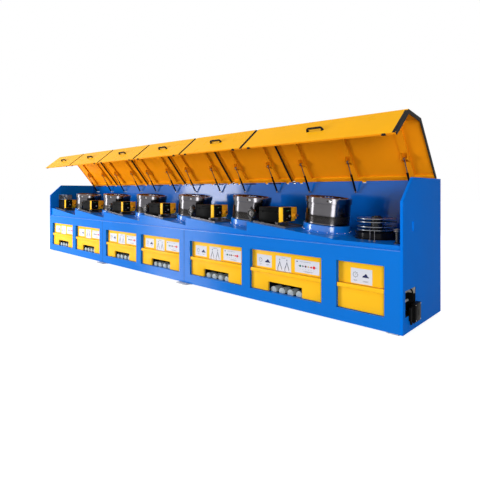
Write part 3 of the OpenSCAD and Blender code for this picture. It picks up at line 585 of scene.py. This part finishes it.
# Collars under the drums are blue castings on a flange that is bolted to the sloping deck. The drip
# trays beside them are bent sheet, grey with oil.
oily_steel = coating("oily steel", (0.17, 0.16, 0.16), 0.3, metal=0.7, ripple=0.25, ripple_size=14,
                     mottle=0.4)
blue_casting = coating("blue casting paint", (0.002, 0.165, 0.64), 0.13, shine=1.0, **paint_ripple)
dress(oily_steel, "drip_trays")
drum_offset, drum_y, collar_radius, collar_height = 1000, 560, 318, 100
flange_radius, bolt_circle, spindle_radius = 334, 326, 44
off_deck = (sin(deck_slope), 0, cos(deck_slope))
collars, collar_bolts = bmesh.new(), []
for n in every_station:
    place = on_deck(n, drum_offset, drum_y)
    turned(collars, [(60, -2), (flange_radius, -2), (flange_radius, 9), (331, 12), (322, 12),
                     (collar_radius, 16), (collar_radius, 92), (314, 98), (306, collar_height),
                     (60, collar_height)], place, 96)
    collar_bolts += [(place @ Vector((x, y, 11.5)), off_deck) for x, y in around(16, bolt_circle, 0.5)]
    disc(collars, spindle_radius, 54, place @ moved(0, 0, collar_height - 4), 32)
fit_piece(collars, "collars_turned", [blue_casting], ["drum_collars"])
dark_screws = screw_tree(oily_steel)
screws("collar_bolts", collar_bolts, dark_screws, 7, 6, 6)

# The capstan drums are cast, turned and polished: a wide rim band on top, a neck, a polished middle and
# the working band at the foot, dark with turns of drawn wire. A small clamp on the rim holds the wire's end.
drum_steel = coating("turned steel", (0.135, 0.13, 0.14), 0.15, metal=1.0, ripple=0.03, ripple_size=20,
                     mottle=0.25, grain_size=9)
wire_and_shade_black = coating("drawn wire and painted shade", (0.04, 0.036, 0.033), 0.28, metal=0.9, ripple=0.1, ripple_size=40,
                     mottle=0.3)
clamp_steel = coating("clamp steel", (0.55, 0.55, 0.56), 0.3, metal=1.0)
drum_radius, drum_height, drum_gap, rim_height, rim_proud, wound_height = 300, 355, 5, 75, 12, 125
wire_radius, wire_turns, wire_foot, wire_rise = 2.9, 16.0, 20, 100.0
top_floor, hub_screw_circle, top_hole_circle, clamp_turn = 18, 55, 185, radians(-57)
sideways = Matrix.Rotation(radians(90), 4, "Y")


def winding_tree(finish):
    """Nodes that wind a wire on a drum: a coil with a round section along it."""
    tree, given = growth_tree("wire winding", (
        ("Turns", "Float"), ("Coil radius", "Float"), ("Coil height", "Float"), ("Wire radius", "Float"),
        ("Steps", "Int"), ("Sides", "Int")))
    coil, section = node(tree, "GeometryNodeCurveSpiral"), node(tree, "GeometryNodeCurvePrimitiveCircle")
    wire = node(tree, "GeometryNodeCurveToMesh", Fill_Caps=True)
    join(tree, (given, "Turns", coil, "Rotations"), (given, "Steps", coil, "Resolution"),
         (given, "Coil radius", coil, "Start Radius"), (given, "Coil radius", coil, "End Radius"),
         (given, "Coil height", coil, "Height"), (given, "Sides", section, "Resolution"),
         (given, "Wire radius", section, "Radius"), (coil, "Curve", wire, "Curve"),
         (section, "Curve", wire, "Profile Curve"))
    return finished_tree(tree, wire, "Mesh", finish)


winding = winding_tree(wire_and_shade_black)
rim_foot = drum_height - rim_height
drum_profile = [(60, 1)] + [(drum_radius + out, z) for out, z in (
    (-3, 1), (0, 4), (0, 14), (-5, 16), (-5, wound_height), (0, wound_height + 3))]
drum_profile += [(drum_radius + out, rim_foot + up) for out, up in (
    (0, -9), (-5, -8), (-5, -1), (10, 0), (rim_proud, 2))]
drum_profile += [(drum_radius + out, drum_height - down) for out, down in (
    (rim_proud, 8), (9, 1), (4, 0), (-28, 0), (-31, 3), (-40, top_floor))]
drum_profile += [(r, drum_height - down) for r, down in ((90, top_floor), (84, 14), (80, 4), (0, 4))]
drum_profile += [(0, 92), (60, 92)]
for n in every_station:
    drum = bmesh.new()
    place = on_deck(n, drum_offset, drum_y) @ moved(0, 0, collar_height + drum_gap)
    turned(drum, drum_profile, place, 128)
    for x, y in around(6, hub_screw_circle):
        turned(drum, [(0, 0), (9, 0), (9, 6), (7, 8), (0, 8)], place @ moved(x, y, drum_height - 4.2), 6, 2)
    for x, y in around(8, top_hole_circle, 0.5):
        turned(drum, [(14, 0), (17, 0), (17, 2), (14, 2)],
               place @ moved(x, y, drum_height - top_floor - 0.5), 20, 2)
        # The black disc in each ring stands for a hole: painted shade.
        disc(drum, 14, 0.8, place @ moved(x, y, drum_height - top_floor - 0.4), 20, 1)
    clamp = (place @ Matrix.Rotation(clamp_turn, 4, "Z")
             @ moved(drum_radius + rim_proud - 3, 0, rim_foot + 38))
    disc(drum, 13, 4, clamp @ moved(0, -24, 0) @ sideways, 20, 1)
    plate_cut(drum, [(-18, -12), (14, -8), (20, 16), (-4, 24)], 8, clamp @ sideways, 1.2, 2)
    fit_piece(drum, f"drum_{n}_turned", [drum_steel, wire_and_shade_black, clamp_steel],
              [f"drum_{n}"], f"drum_{n}")
    coil = grown(bpy.data.meshes.new("empty"), winding, {
        "Turns": wire_turns, "Coil radius": drum_radius - 0.3 - wire_radius, "Coil height": wire_rise,
        "Wire radius": wire_radius, "Steps": 72, "Sides": 6})
    wire = bmesh.new()
    wire.from_mesh(coil)
    bpy.data.meshes.remove(coil)
    wire.transform(place @ moved(0, 0, wire_foot))
    bmesh.ops.recalc_face_normals(wire, faces=wire.faces)
    fit_piece(wire, f"drum_{n}_wire", [wire_and_shade_black], body=f"drum_{n}", crease=60)

# Die boxes stand level on their trays. A black lidded cover closes the soap chamber, a yellow block holds
# the die, and at the drum's side the black lubricator stands beside the orange die holder and its horn.
orange_paint = coating("orange paint", (0.90, 0.37, 0.012), 0.35, shine=0.12)
bronze = coating("dull bronze", (0.16, 0.07, 0.025), 0.45, metal=0.6)
lamp_green = coating("green cap", (0.02, 0.20, 0.06), 0.35, ripple=0)
die_offset, die_y, die_depth, die_height, die_lift = 115, 170, 285, 216, 14
cover_length, block_length, block_rise, holder_length, lubricator_depth = 366, 79, 18, 26, 160
lid_foot, horn_height = 154, 100
die_foot = deck_height(die_offset) + die_lift
edge = cover_length + block_length
holder_y = (lubricator_depth + die_depth) / 2
along_x = Matrix(((0, 0, 1, 0), (1, 0, 0, 0), (0, 1, 0, 0), (0, 0, 0, 1)))
knobs = ((104, 92, 17, 16, 1), (104, 92, 9, 22, 1), (50, 170, 7, 9, 2), (78, 172, 7, 9, 1),
         (48, 60, 6, 8, 1), (118, 176, 6, 8, 2), (62, 118, 11, 12, 0))
handle = [(130, 2, 190), (130, -16, 192), (134, -20, 192), (196, -20, 192), (200, -16, 192), (200, 2, 190)]
covers, blocks, lubricators, holders, nozzles = (bmesh.new() for _ in range(5))
for n in every_station:
    at = moved(station(n) + die_offset, die_y, die_foot)
    block(covers, (0, 0, 0), (cover_length - 4, die_depth, lid_foot - 4), 4, at)
    block(covers, (4, 4, lid_foot - 6), (cover_length - 8, die_depth - 4, lid_foot + 2), 0.5, at)
    block(covers, (0, 0, lid_foot), (cover_length - 4, die_depth, die_height), 6, at, steps=3)
    block(covers, (cover_length - 6, 6, 6), (cover_length + 2, die_depth - 6, die_height - 6), 0, at)
    for x in (60, cover_length - 70):
        block(covers, (x, -6, 136), (x + 18, 1, 168), 2, at)
    rod(covers, handle, 5, 10, place=at)
    plate_cut(blocks, [(cover_length, 2), (edge - 8, block_rise), (edge - 8, die_height),
                       (cover_length, die_height)], die_depth, at @ moved(0, die_depth, 0) @ upright, 3)
    block(lubricators, (edge - 8, 0, block_rise), (edge + 18, lubricator_depth, die_height), 3, at)
    block(lubricators, (edge + 16, 8, block_rise + 8),
          (edge + holder_length - 2, lubricator_depth - 8, die_height - 8), 2, at)
    for y, z, radius, tall, colour in knobs:
        turned(lubricators, [(0, 0), (radius, 0), (radius, tall * 0.8), (radius * 0.85, tall), (0, tall)],
               at @ moved(edge + holder_length - 3, y, z) @ sideways, 20, colour)
    plate_cut(holders, [(lubricator_depth + 1, 92), (lubricator_depth + 16, 78), (lubricator_depth + 20, 50),
                        (die_depth, 50), (die_depth, die_height), (lubricator_depth + 1, die_height)],
              holder_length + 4, at @ moved(edge - 6, 0, 0) @ along_x, 3)
    horn = at @ moved(edge + holder_length - 4, holder_y, horn_height) @ sideways
    turned(holders, [(0, 0), (38, 0), (36, 6), (27, 14), (21, 30), (19, 34), (0, 34)], horn, 32)
    turned(nozzles, [(0, 0), (16, 0), (16, 44), (15, 52), (12, 66), (10, 74), (0, 74)], horn, 24)
    disc(nozzles, 20, 10, horn @ moved(0, 0, 30), 6)
fit_piece(covers, "die_covers", [black_satin, zinc], ["die_box_covers"])
fit_piece(blocks, "die_blocks", [yellow_panel], ["die_box_blocks"])
fit_piece(lubricators, "lubricators", [black_satin, zinc, lamp_green], ["die_lubricators"])
fit_piece(holders, "holders", [orange_paint], ["die_holders"])
fit_piece(nozzles, "nozzles", [bronze], ["die_nozzles"])

# At the inlet a slate grey plate housing holds two rows of oily steel rollers that straighten the wire. It
# is bolted to the end plate.
slate_grey = coating("slate grey paint", (0.13, 0.15, 0.19), 0.4)
inlet_y, inlet_z, inlet_side, inlet_length = 220, die_foot + die_height + 5, 124, 520
inlet_rear, inlet_top, inlet_end = inlet_y + inlet_side, inlet_z + inlet_side, plate + inlet_length
housing_sheet, row_low, row_high = 12, 40, 84
roller_profile = [(0, 0), (30, 0), (30, 10), (24, 16), (24, 22), (30, 28), (30, 38), (12, 38), (12, 44),
                  (0, 44)]
inlet = bmesh.new()
block(inlet, (plate, inlet_y, inlet_z), (inlet_end, inlet_rear, inlet_z + housing_sheet), 2)
block(inlet, (plate, inlet_y, inlet_top - housing_sheet), (inlet_end, inlet_rear, inlet_top), 2)
block(inlet, (plate, inlet_y + 50, inlet_z + 10), (inlet_end, inlet_rear, inlet_top - 10), 2)
block(inlet, (plate, inlet_y, inlet_z), (plate + housing_sheet, inlet_rear, inlet_top), 2)
block(inlet, (inlet_end - housing_sheet, inlet_y, inlet_z), (inlet_end, inlet_y + 60, inlet_top), 2)
for k in range(5):
    place = moved(plate + 66 + k * 97, inlet_y + 52, inlet_z + (row_low if k % 2 else row_high)) @ upright
    turned(inlet, roller_profile, place, 32, 1)
fit_piece(inlet, "inlet_straightener", [slate_grey, oily_steel], ["inlet_guide"])

# After each drum but the last, a round dark head on a post carries the grooved roller that leads the wire
# back to the front. At the outlet a smaller roller stands on a post beside two slim guide pins.
black_oily = coating("oily black paint", (0.012, 0.012, 0.012), 0.22, shine=0.4, ripple=0.2, ripple_size=40,
                     mottle=0.3)
guide_offset, guide_y, guide_height = 1305, 180, 235
outlet_offset, outlet_y, pin_height, pin_radius = 735, 190, 132, 4
guides, rollers = bmesh.new(), bmesh.new()
for n in every_joint:
    place = on_deck(n, guide_offset, guide_y)
    block(guides, (-45, 0, 0), (45, 104, 18), 3, place)
    block(guides, (-22, 30, 16), (22, 74, guide_height - 40), 4, place)
    block(guides, (-16, 26, guide_height - 120), (16, 78, guide_height - 30), 6, place)
    head = place @ moved(0, 82, guide_height) @ upright
    turned(guides, [(0, 0), (58, 0), (66, 4), (70, 12), (72, 20), (72, 52), (69, 58), (62, 60), (0, 60)],
           head)
    turned(guides, [(40, 58), (60, 58), (60, 66), (56, 71), (46, 71), (40, 67)], head)
    turned(rollers, [(0, 58), (30, 58), (30, 62), (16, 64), (16, 76), (12, 80), (0, 80)], head, 32)
    for x, y in around(6, 50):
        disc(rollers, 5, 4, head @ moved(x, y, 70.5), 6)
outlet = moved(takeoff_start + outlet_offset, outlet_y, takeoff_deck)
turned(guides, [(0, 0), (40, 0), (40, 10), (22, 14), (22, 138), (0, 138)], outlet, 32)
turned(rollers, [(0, 136), (42, 136), (42, 141), (34, 147), (34, 151), (42, 157), (42, 160), (14, 160),
                 (14, 168), (0, 168)], outlet, 40)
for x, y in ((takeoff_start + 378, 261), (takeoff_start + 460, 206)):
    rod(rollers, [(x, y, takeoff_deck), (x, y, takeoff_deck + pin_height)], pin_radius)
    turned(rollers, [(0, 0), (16, 0), (16, 6), (13, 8), (0, 8)], moved(x, y, takeoff_deck), 24)
fit_piece(guides, "guide_heads", [black_oily], ["wire_guides"])
fit_piece(rollers, "guide_roller_rings", [oily_steel], ["guide_rollers"])

# The take-off is a stack of four thin steel sheaves on a hub, which turns on a black pedestal. The
# pedestal is a casting with a foot flange and is painted in gloss black.
black_gloss = coating("black gloss paint", (0.004, 0.004, 0.005), 0.14, shine=0.5, ior=1.2)
sheave_steel = coating("sheave steel", (0.30, 0.32, 0.35), 0.26, metal=1.0)
sheave_x, sheave_y, sheave_z = takeoff_start + 325, 560, 1074
sheave_levels, hole_circle = (0, 40, 98, 138), 150
sheave_profile = [(66, 1), (216, 1), (222, -1), (236, -1), (240, 2), (240, 8), (236, 11), (222, 11),
                  (216, 9), (66, 9)]
hub_foot, hub_top = takeoff_deck + 92.4, sheave_z + sheave_levels[-1] + 34
pedestal, sheaves, hub = bmesh.new(), bmesh.new(), bmesh.new()
turned(pedestal, [(40, 0), (268, 0), (268, 12), (258, 16), (256, 76), (262, 80), (264, 88), (258, 92),
                  (40, 92)], moved(sheave_x, sheave_y, takeoff_deck), 96)
for level in sheave_levels:
    turned(sheaves, sheave_profile, moved(sheave_x, sheave_y, sheave_z + level), 96)
    # A black disc on each sheave stands for a hole: painted shade.
    for x, y in around(6, hole_circle, level / 80):
        disc(sheaves, 22, 0.8, moved(sheave_x + x, sheave_y + y, sheave_z + level + 8.8), 24, 1)
turned(hub, [(0, hub_foot - 70), (29.5, hub_foot - 70), (29.5, hub_foot), (70, hub_foot + 0.5),
             (70, hub_top - 16), (66, hub_top - 12), (44, hub_top - 12), (44, hub_top - 2), (40, hub_top),
             (0, hub_top)], moved(sheave_x, sheave_y, 0), 64)
for x, y in around(6, 56):
    disc(hub, 5, 5, moved(sheave_x + x, sheave_y + y, hub_top - 12.5), 6)
fit_piece(pedestal, "takeoff_casting", [black_gloss], ["takeoff_pedestal"])
fit_piece(sheaves, "sheave_discs", [sheave_steel, shade_black], ["takeoff_sheaves"],
          "takeoff")
fit_piece(hub, "sheave_hub", [black_oily], ["takeoff_hub"], "takeoff")

# Hoods are bent yellow sheet with channel ribs, hinged along the back wall and shown standing open. A thin
# lip is folded in along the flap's lower edge and the inlet end, and a cross channel stiffens the rear.
# The sheet's faces that look down are a deeper orange than those that look up: painted shade on the
# undersides.
yellow_gloss_and_shade = coating("yellow gloss paint with painted shade", (0.93, 0.42, 0.006), 0.28, shine=0.3, ior=1.12)
paint_tree = yellow_gloss_and_shade.node_tree
# The mix below darkens the faces that look down to a deeper orange as painted shade.
facing, height_of = node(paint_tree, "ShaderNodeTexCoord"), node(paint_tree, "ShaderNodeSeparateXYZ")
upward = node(paint_tree, "ShaderNodeMapRange", From_Min=-0.1, From_Max=0.1)
painted_shade_tones = node(paint_tree, "ShaderNodeMix")
painted_shade_tones.data_type = "RGBA"
filled(painted_shade_tones, A=(0.93, 0.30, 0.005, 1), B=(0.95, 0.45, 0.007, 1))
join(paint_tree, (facing, "Normal", height_of, "Vector"), (height_of, "Z", upward, "Value"),
     (upward, "Result", painted_shade_tones, "Factor"), (painted_shade_tones, "Result", paint_tree.nodes["Vector Math"], "Vector"))
hinge_y, hinge_z, hood_open = 1200, 1694, radians(51)
hood_height, hood_edge, hood_sheet, hood_rear = 1710, 965, 8, 1164
chamfer_depth, chamfer_foot = 285, 1443
chamfer_angle = atan2(hood_height - chamfer_foot, chamfer_depth)
fold_low = (1 - sin(chamfer_angle)) / cos(chamfer_angle)
fold_high = (1 - cos(chamfer_angle)) / sin(chamfer_angle)
swung = moved(0, hinge_y, hinge_z) @ Matrix.Rotation(-hood_open, 4, "X") @ moved(0, -hinge_y, -hinge_z)
hood_starts = [station(1) + 6] + [station(n + 1) + 42 for n in every_joint]
hood_ends = [station(n + 1) - 13 for n in every_joint] + [total_length - plate - 6]
hoods = list(zip(every_station, hood_starts, hood_ends))


def across(piece, x, thick, near, far, rear, edge, rounding=0.0, colour=0):
    """A strip that stands across a hood at x and follows its section, between two depths under the sheet."""
    outline = [(rear, hood_height - near), (chamfer_depth + near * fold_high, hood_height - near),
               (near, chamfer_foot - near * fold_low), (near, edge), (far, edge),
               (far, chamfer_foot - far * fold_low), (chamfer_depth + far * fold_high, hood_height - far),
               (rear, hood_height - far)]
    plate_cut(piece, outline, thick, moved(x) @ along_x, rounding, colour)


for n, start, end in hoods:
    dress(yellow_gloss_and_shade, f"hood_{n}")
    lips = bmesh.new()
    block(lips, (start, hood_sheet - 2, hood_edge), (end, hood_sheet + 15, hood_edge + 3), 0.8)
    across(lips, start, 3, hood_sheet - 1, hood_sheet + 15, hood_rear, hood_edge + 2)
    block(lips, (start + 4, hood_rear - 50, 1678), (end - 10, hood_rear + 1, hood_height - hood_sheet + 1), 5,
          steps=3)
    lips.transform(swung)
    fit_piece(lips, f"hood_{n}_lips", [yellow_gloss_and_shade], body=f"hood_{n}")
    knuckles = [start + 110, (start + end) / 2 + 110, end - 110]
    leaf = [(swung @ Vector((x + dx, 1130, hood_height - 0.5)), swung.to_3x3() @ Vector((0, 0, 1)))
            for x in knuckles for dx in (-20, 0, 20)]
    screws(f"hood_{n}_screws", leaf, zinc_screws, 6, 3, 12, f"hood_{n}")

# Each hood's fittings: a seal of black rubber across its outlet end, a yellow sheet strip that closes the gap
# to the next hood with a black layer on its outer side as painted shade in the gap, two stop pads under the
# edge, and a bent round handle.
seal_width, seal_depth, seal_foot, strip_depth, strip_reach = 8, 40, hood_edge + 32, 16, 47
grip_half, grip_reach, grip_corner, grip_radius = 108, 38, 24, 14
for n, start, end in hoods:
    fittings = bmesh.new()
    seal_start = end - seal_width
    across(fittings, seal_start, seal_width, hood_sheet, hood_sheet + seal_depth, 1110, seal_foot)
    if n < stations:
        across(fittings, seal_start, seal_width + strip_reach, hood_sheet + 4, hood_sheet + strip_depth,
               hood_rear, hood_edge, 1.5, 1)
        # The strip's black outer layer is painted shade in the gap between hoods.
        across(fittings, seal_start, seal_width + strip_reach - 1, hood_sheet, hood_sheet + 5,
               hood_rear - 1, hood_edge + 1, 1)
        across(fittings, end - 1, 9, 0.6, hood_sheet + seal_depth, hood_rear, seal_foot)
    else:
        block(fittings, (end - 34, -2, hood_edge + 1), (end + 1, 1, chamfer_foot - 24), 0.6)
        across(fittings, end - 2, 3, 0.3, hood_sheet + seal_depth, hood_rear - 4, seal_foot)
    for x in (start + 100, end - 150):
        block(fittings, (x, hood_sheet - 1, hood_edge - 12), (x + 50, hood_sheet + 16, hood_edge + 34), 4,
              steps=3)
        block(fittings, (x + 6, -0.5, hood_edge - 4.5), (x + 44, hood_sheet + 1, hood_edge + 3), 1.5)
    middle, z = (start + end) / 2, (chamfer_foot + hood_edge) / 2
    bent = [(middle - grip_half + grip_corner * (1 - cos(a)),
             -grip_reach + grip_corner * (1 - sin(a)), z)
            for a in [radians(15 * k) for k in range(7)]]
    half_grip = [(middle - grip_half, 2, z), *bent]
    other_half = [(2 * middle - x, y, z) for x, y, z in reversed(half_grip)]
    rod(fittings, half_grip + other_half, grip_radius, 14)
    for side in (-1, 1):
        turned(fittings, [(0, 0), (22, 0), (22, 3), (19, 5), (0, 5)],
               moved(middle + side * grip_half, 1, z) @ upright, 24)
    fittings.transform(swung)
    fit_piece(fittings, f"hood_{n}_trim", [black_rubber_and_shade, yellow_gloss_and_shade],
              [f"hood_fittings_{n}"], f"hood_{n}")

# Gas struts hold the hoods: a black tube that turns on a steel bracket on the wall, and a ground rod that
# ends in an eye on the rib's pin. The tube's foot is an oily screwed end, and a collar closes its top.
bright_steel = coating("bright steel", (0.68, 0.69, 0.71), 0.16, metal=1.0)
wall_pivot_y, wall_pivot_z, rib_pin = 1150, 1540, (0, 805, 1636)
open_pin = swung @ Vector(rib_pin)
strut_lean = atan2(wall_pivot_y - open_pin.y, open_pin.z - wall_pivot_z)
tube_length, bore, collar_foot, collar_top = 290, 7.3, 274, 284
dress(bright_steel, "strut_brackets")
for n, start, end in hoods:
    dress(oily_steel, f"strut_rods_{n}")
    tubes = bmesh.new()
    for x in [start + 300, end - 300] + ([(start + end) / 2] if n == stations else []):
        place = moved(x, wall_pivot_y, wall_pivot_z) @ Matrix.Rotation(strut_lean, 4, "X")
        turned(tubes, [(bore, 24), (13, 24), (14, 28), (14, tube_length - 3), (13, tube_length),
                       (bore, tube_length)], place, 24)
        turned(tubes, [(0, 12), (9, 12), (9, 20), (12.5, 22), (12.5, 30), (0, 30)], place, 6, 1)
        turned(tubes, [(6.3, -7), (11.5, -7), (11.5, 7), (6.3, 7)], place @ sideways, 24, 1)
        turned(tubes, [(bore, collar_foot), (15, collar_foot), (15, collar_top), (bore, collar_top)],
               place, 24)
    fit_piece(tubes, f"strut_{n}_tubes", [black_satin, oily_steel],
              [f"strut_tubes_{n}"], f"strut_tubes_{n}")

# The floor is plain and pale, and the world is a white surround. Both show their full white only where
# they are seen, straight or in a mirror, so that they put no more light on the machine than a studio does.
floor_reach, floor_height = 60, -0.002
floor_mesh = bpy.data.meshes.new("floor")
floor_mesh.from_pydata([(x * floor_reach, y * floor_reach, floor_height) for x, y in (
    (-1, -1), (1, -1), (1, 1), (-1, 1))], [], [(0, 1, 2, 3)])
floor = placed("floor", floor_mesh)
floor_white = bpy.data.materials.new("floor white")
floor_white.use_nodes = True
ground = floor_white.node_tree
matt = filled(ground.nodes["Principled BSDF"], Base_Color=(0.55, 0.55, 0.55, 1), Roughness=0.9,
              Specular_IOR_Level=0.1)


def seen_directly(tree):
    """A node whose value is one for rays that are seen, mirrored or come through glass."""
    rays = node(tree, "ShaderNodeLightPath")
    either, seen = node(tree, "ShaderNodeMath"), node(tree, "ShaderNodeMath")
    either.operation = seen.operation = "MAXIMUM"
    join(tree, (rays, "Is Camera Ray", either, 0), (rays, "Is Glossy Ray", either, 1),
         (either, 0, seen, 0), (rays, "Is Transmission Ray", seen, 1))
    return seen


glow = node(ground, "ShaderNodeEmission", Color=(0.84, 0.84, 0.84, 1))
both = node(ground, "ShaderNodeAddShader")
join(ground, (seen_directly(ground), 0, glow, "Strength"), (matt, 0, both, 0), (glow, 0, both, 1),
     (both, 0, ground.nodes["Material Output"], "Surface"))
floor_mesh.materials.append(floor_white)
floor.visible_glossy = False

world = bpy.data.worlds.new("studio")
world.use_nodes = True
bpy.context.scene.world = world
surround = world.node_tree
ambient = filled(surround.nodes["Background"], Color=(1, 1, 1, 1), Strength=0.27)
white = node(surround, "ShaderNodeBackground", Color=(1, 1, 1, 1), Strength=1.0)
mixed = node(surround, "ShaderNodeMixShader")
join(surround, (seen_directly(surround), 0, mixed, 0), (ambient, 0, mixed, 1), (white, 0, mixed, 2),
     (mixed, 0, surround.nodes["World Output"], "Surface"))

# Soft lamps light the machine from the front left, the front right, above and behind. Two tall narrow lamps
# far off to the sides show as streaks on round metal and as a window's glare on the blue paint.


def lamp(name, place, aim, size, power, mirrored=True, lights=True):
    light = bpy.data.lights.new(name, "AREA")
    light.shape = "RECTANGLE"
    light.size, light.size_y = size
    light.energy = power
    thing = placed(name, light)
    thing.location = place
    thing.rotation_euler = (Vector(aim) - Vector(place)).to_track_quat("-Z", "Y").to_euler()
    thing.visible_camera = False
    thing.visible_glossy = mirrored
    thing.visible_diffuse = lights


lamp("key", (-8.0, -8.5, 1.6), (0.0, 0, 1.3), (4, 2.5), 590, mirrored=False)
lamp("low left", (-8.0, -6.0, 0.5), (0.5, 0, 2.0), (3, 1.5), 360, mirrored=False)
lamp("fill", (9.5, -7.0, 2.4), (3.2, 0, 1.4), (3, 3), 400, mirrored=False)
lamp("top", (0.5, -3.5, 7.5), (0.0, 0, 1.0), (8, 3), 170, mirrored=False)
lamp("back", (0.0, 10.0, 4.0), (0.0, 0, 1.0), (9, 3), 330, mirrored=False)
lamp("right strip", (17.0, -8.8, 1.5), (3.3, 0, 1.5), (4.5, 14), 1500, lights=False)
lamp("left strip", (-12.0, -10.8, 1.5), (3.3, 0, 1.5), (3.5, 14), 1450)
bpy.context.scene.view_settings.view_transform = "Standard"
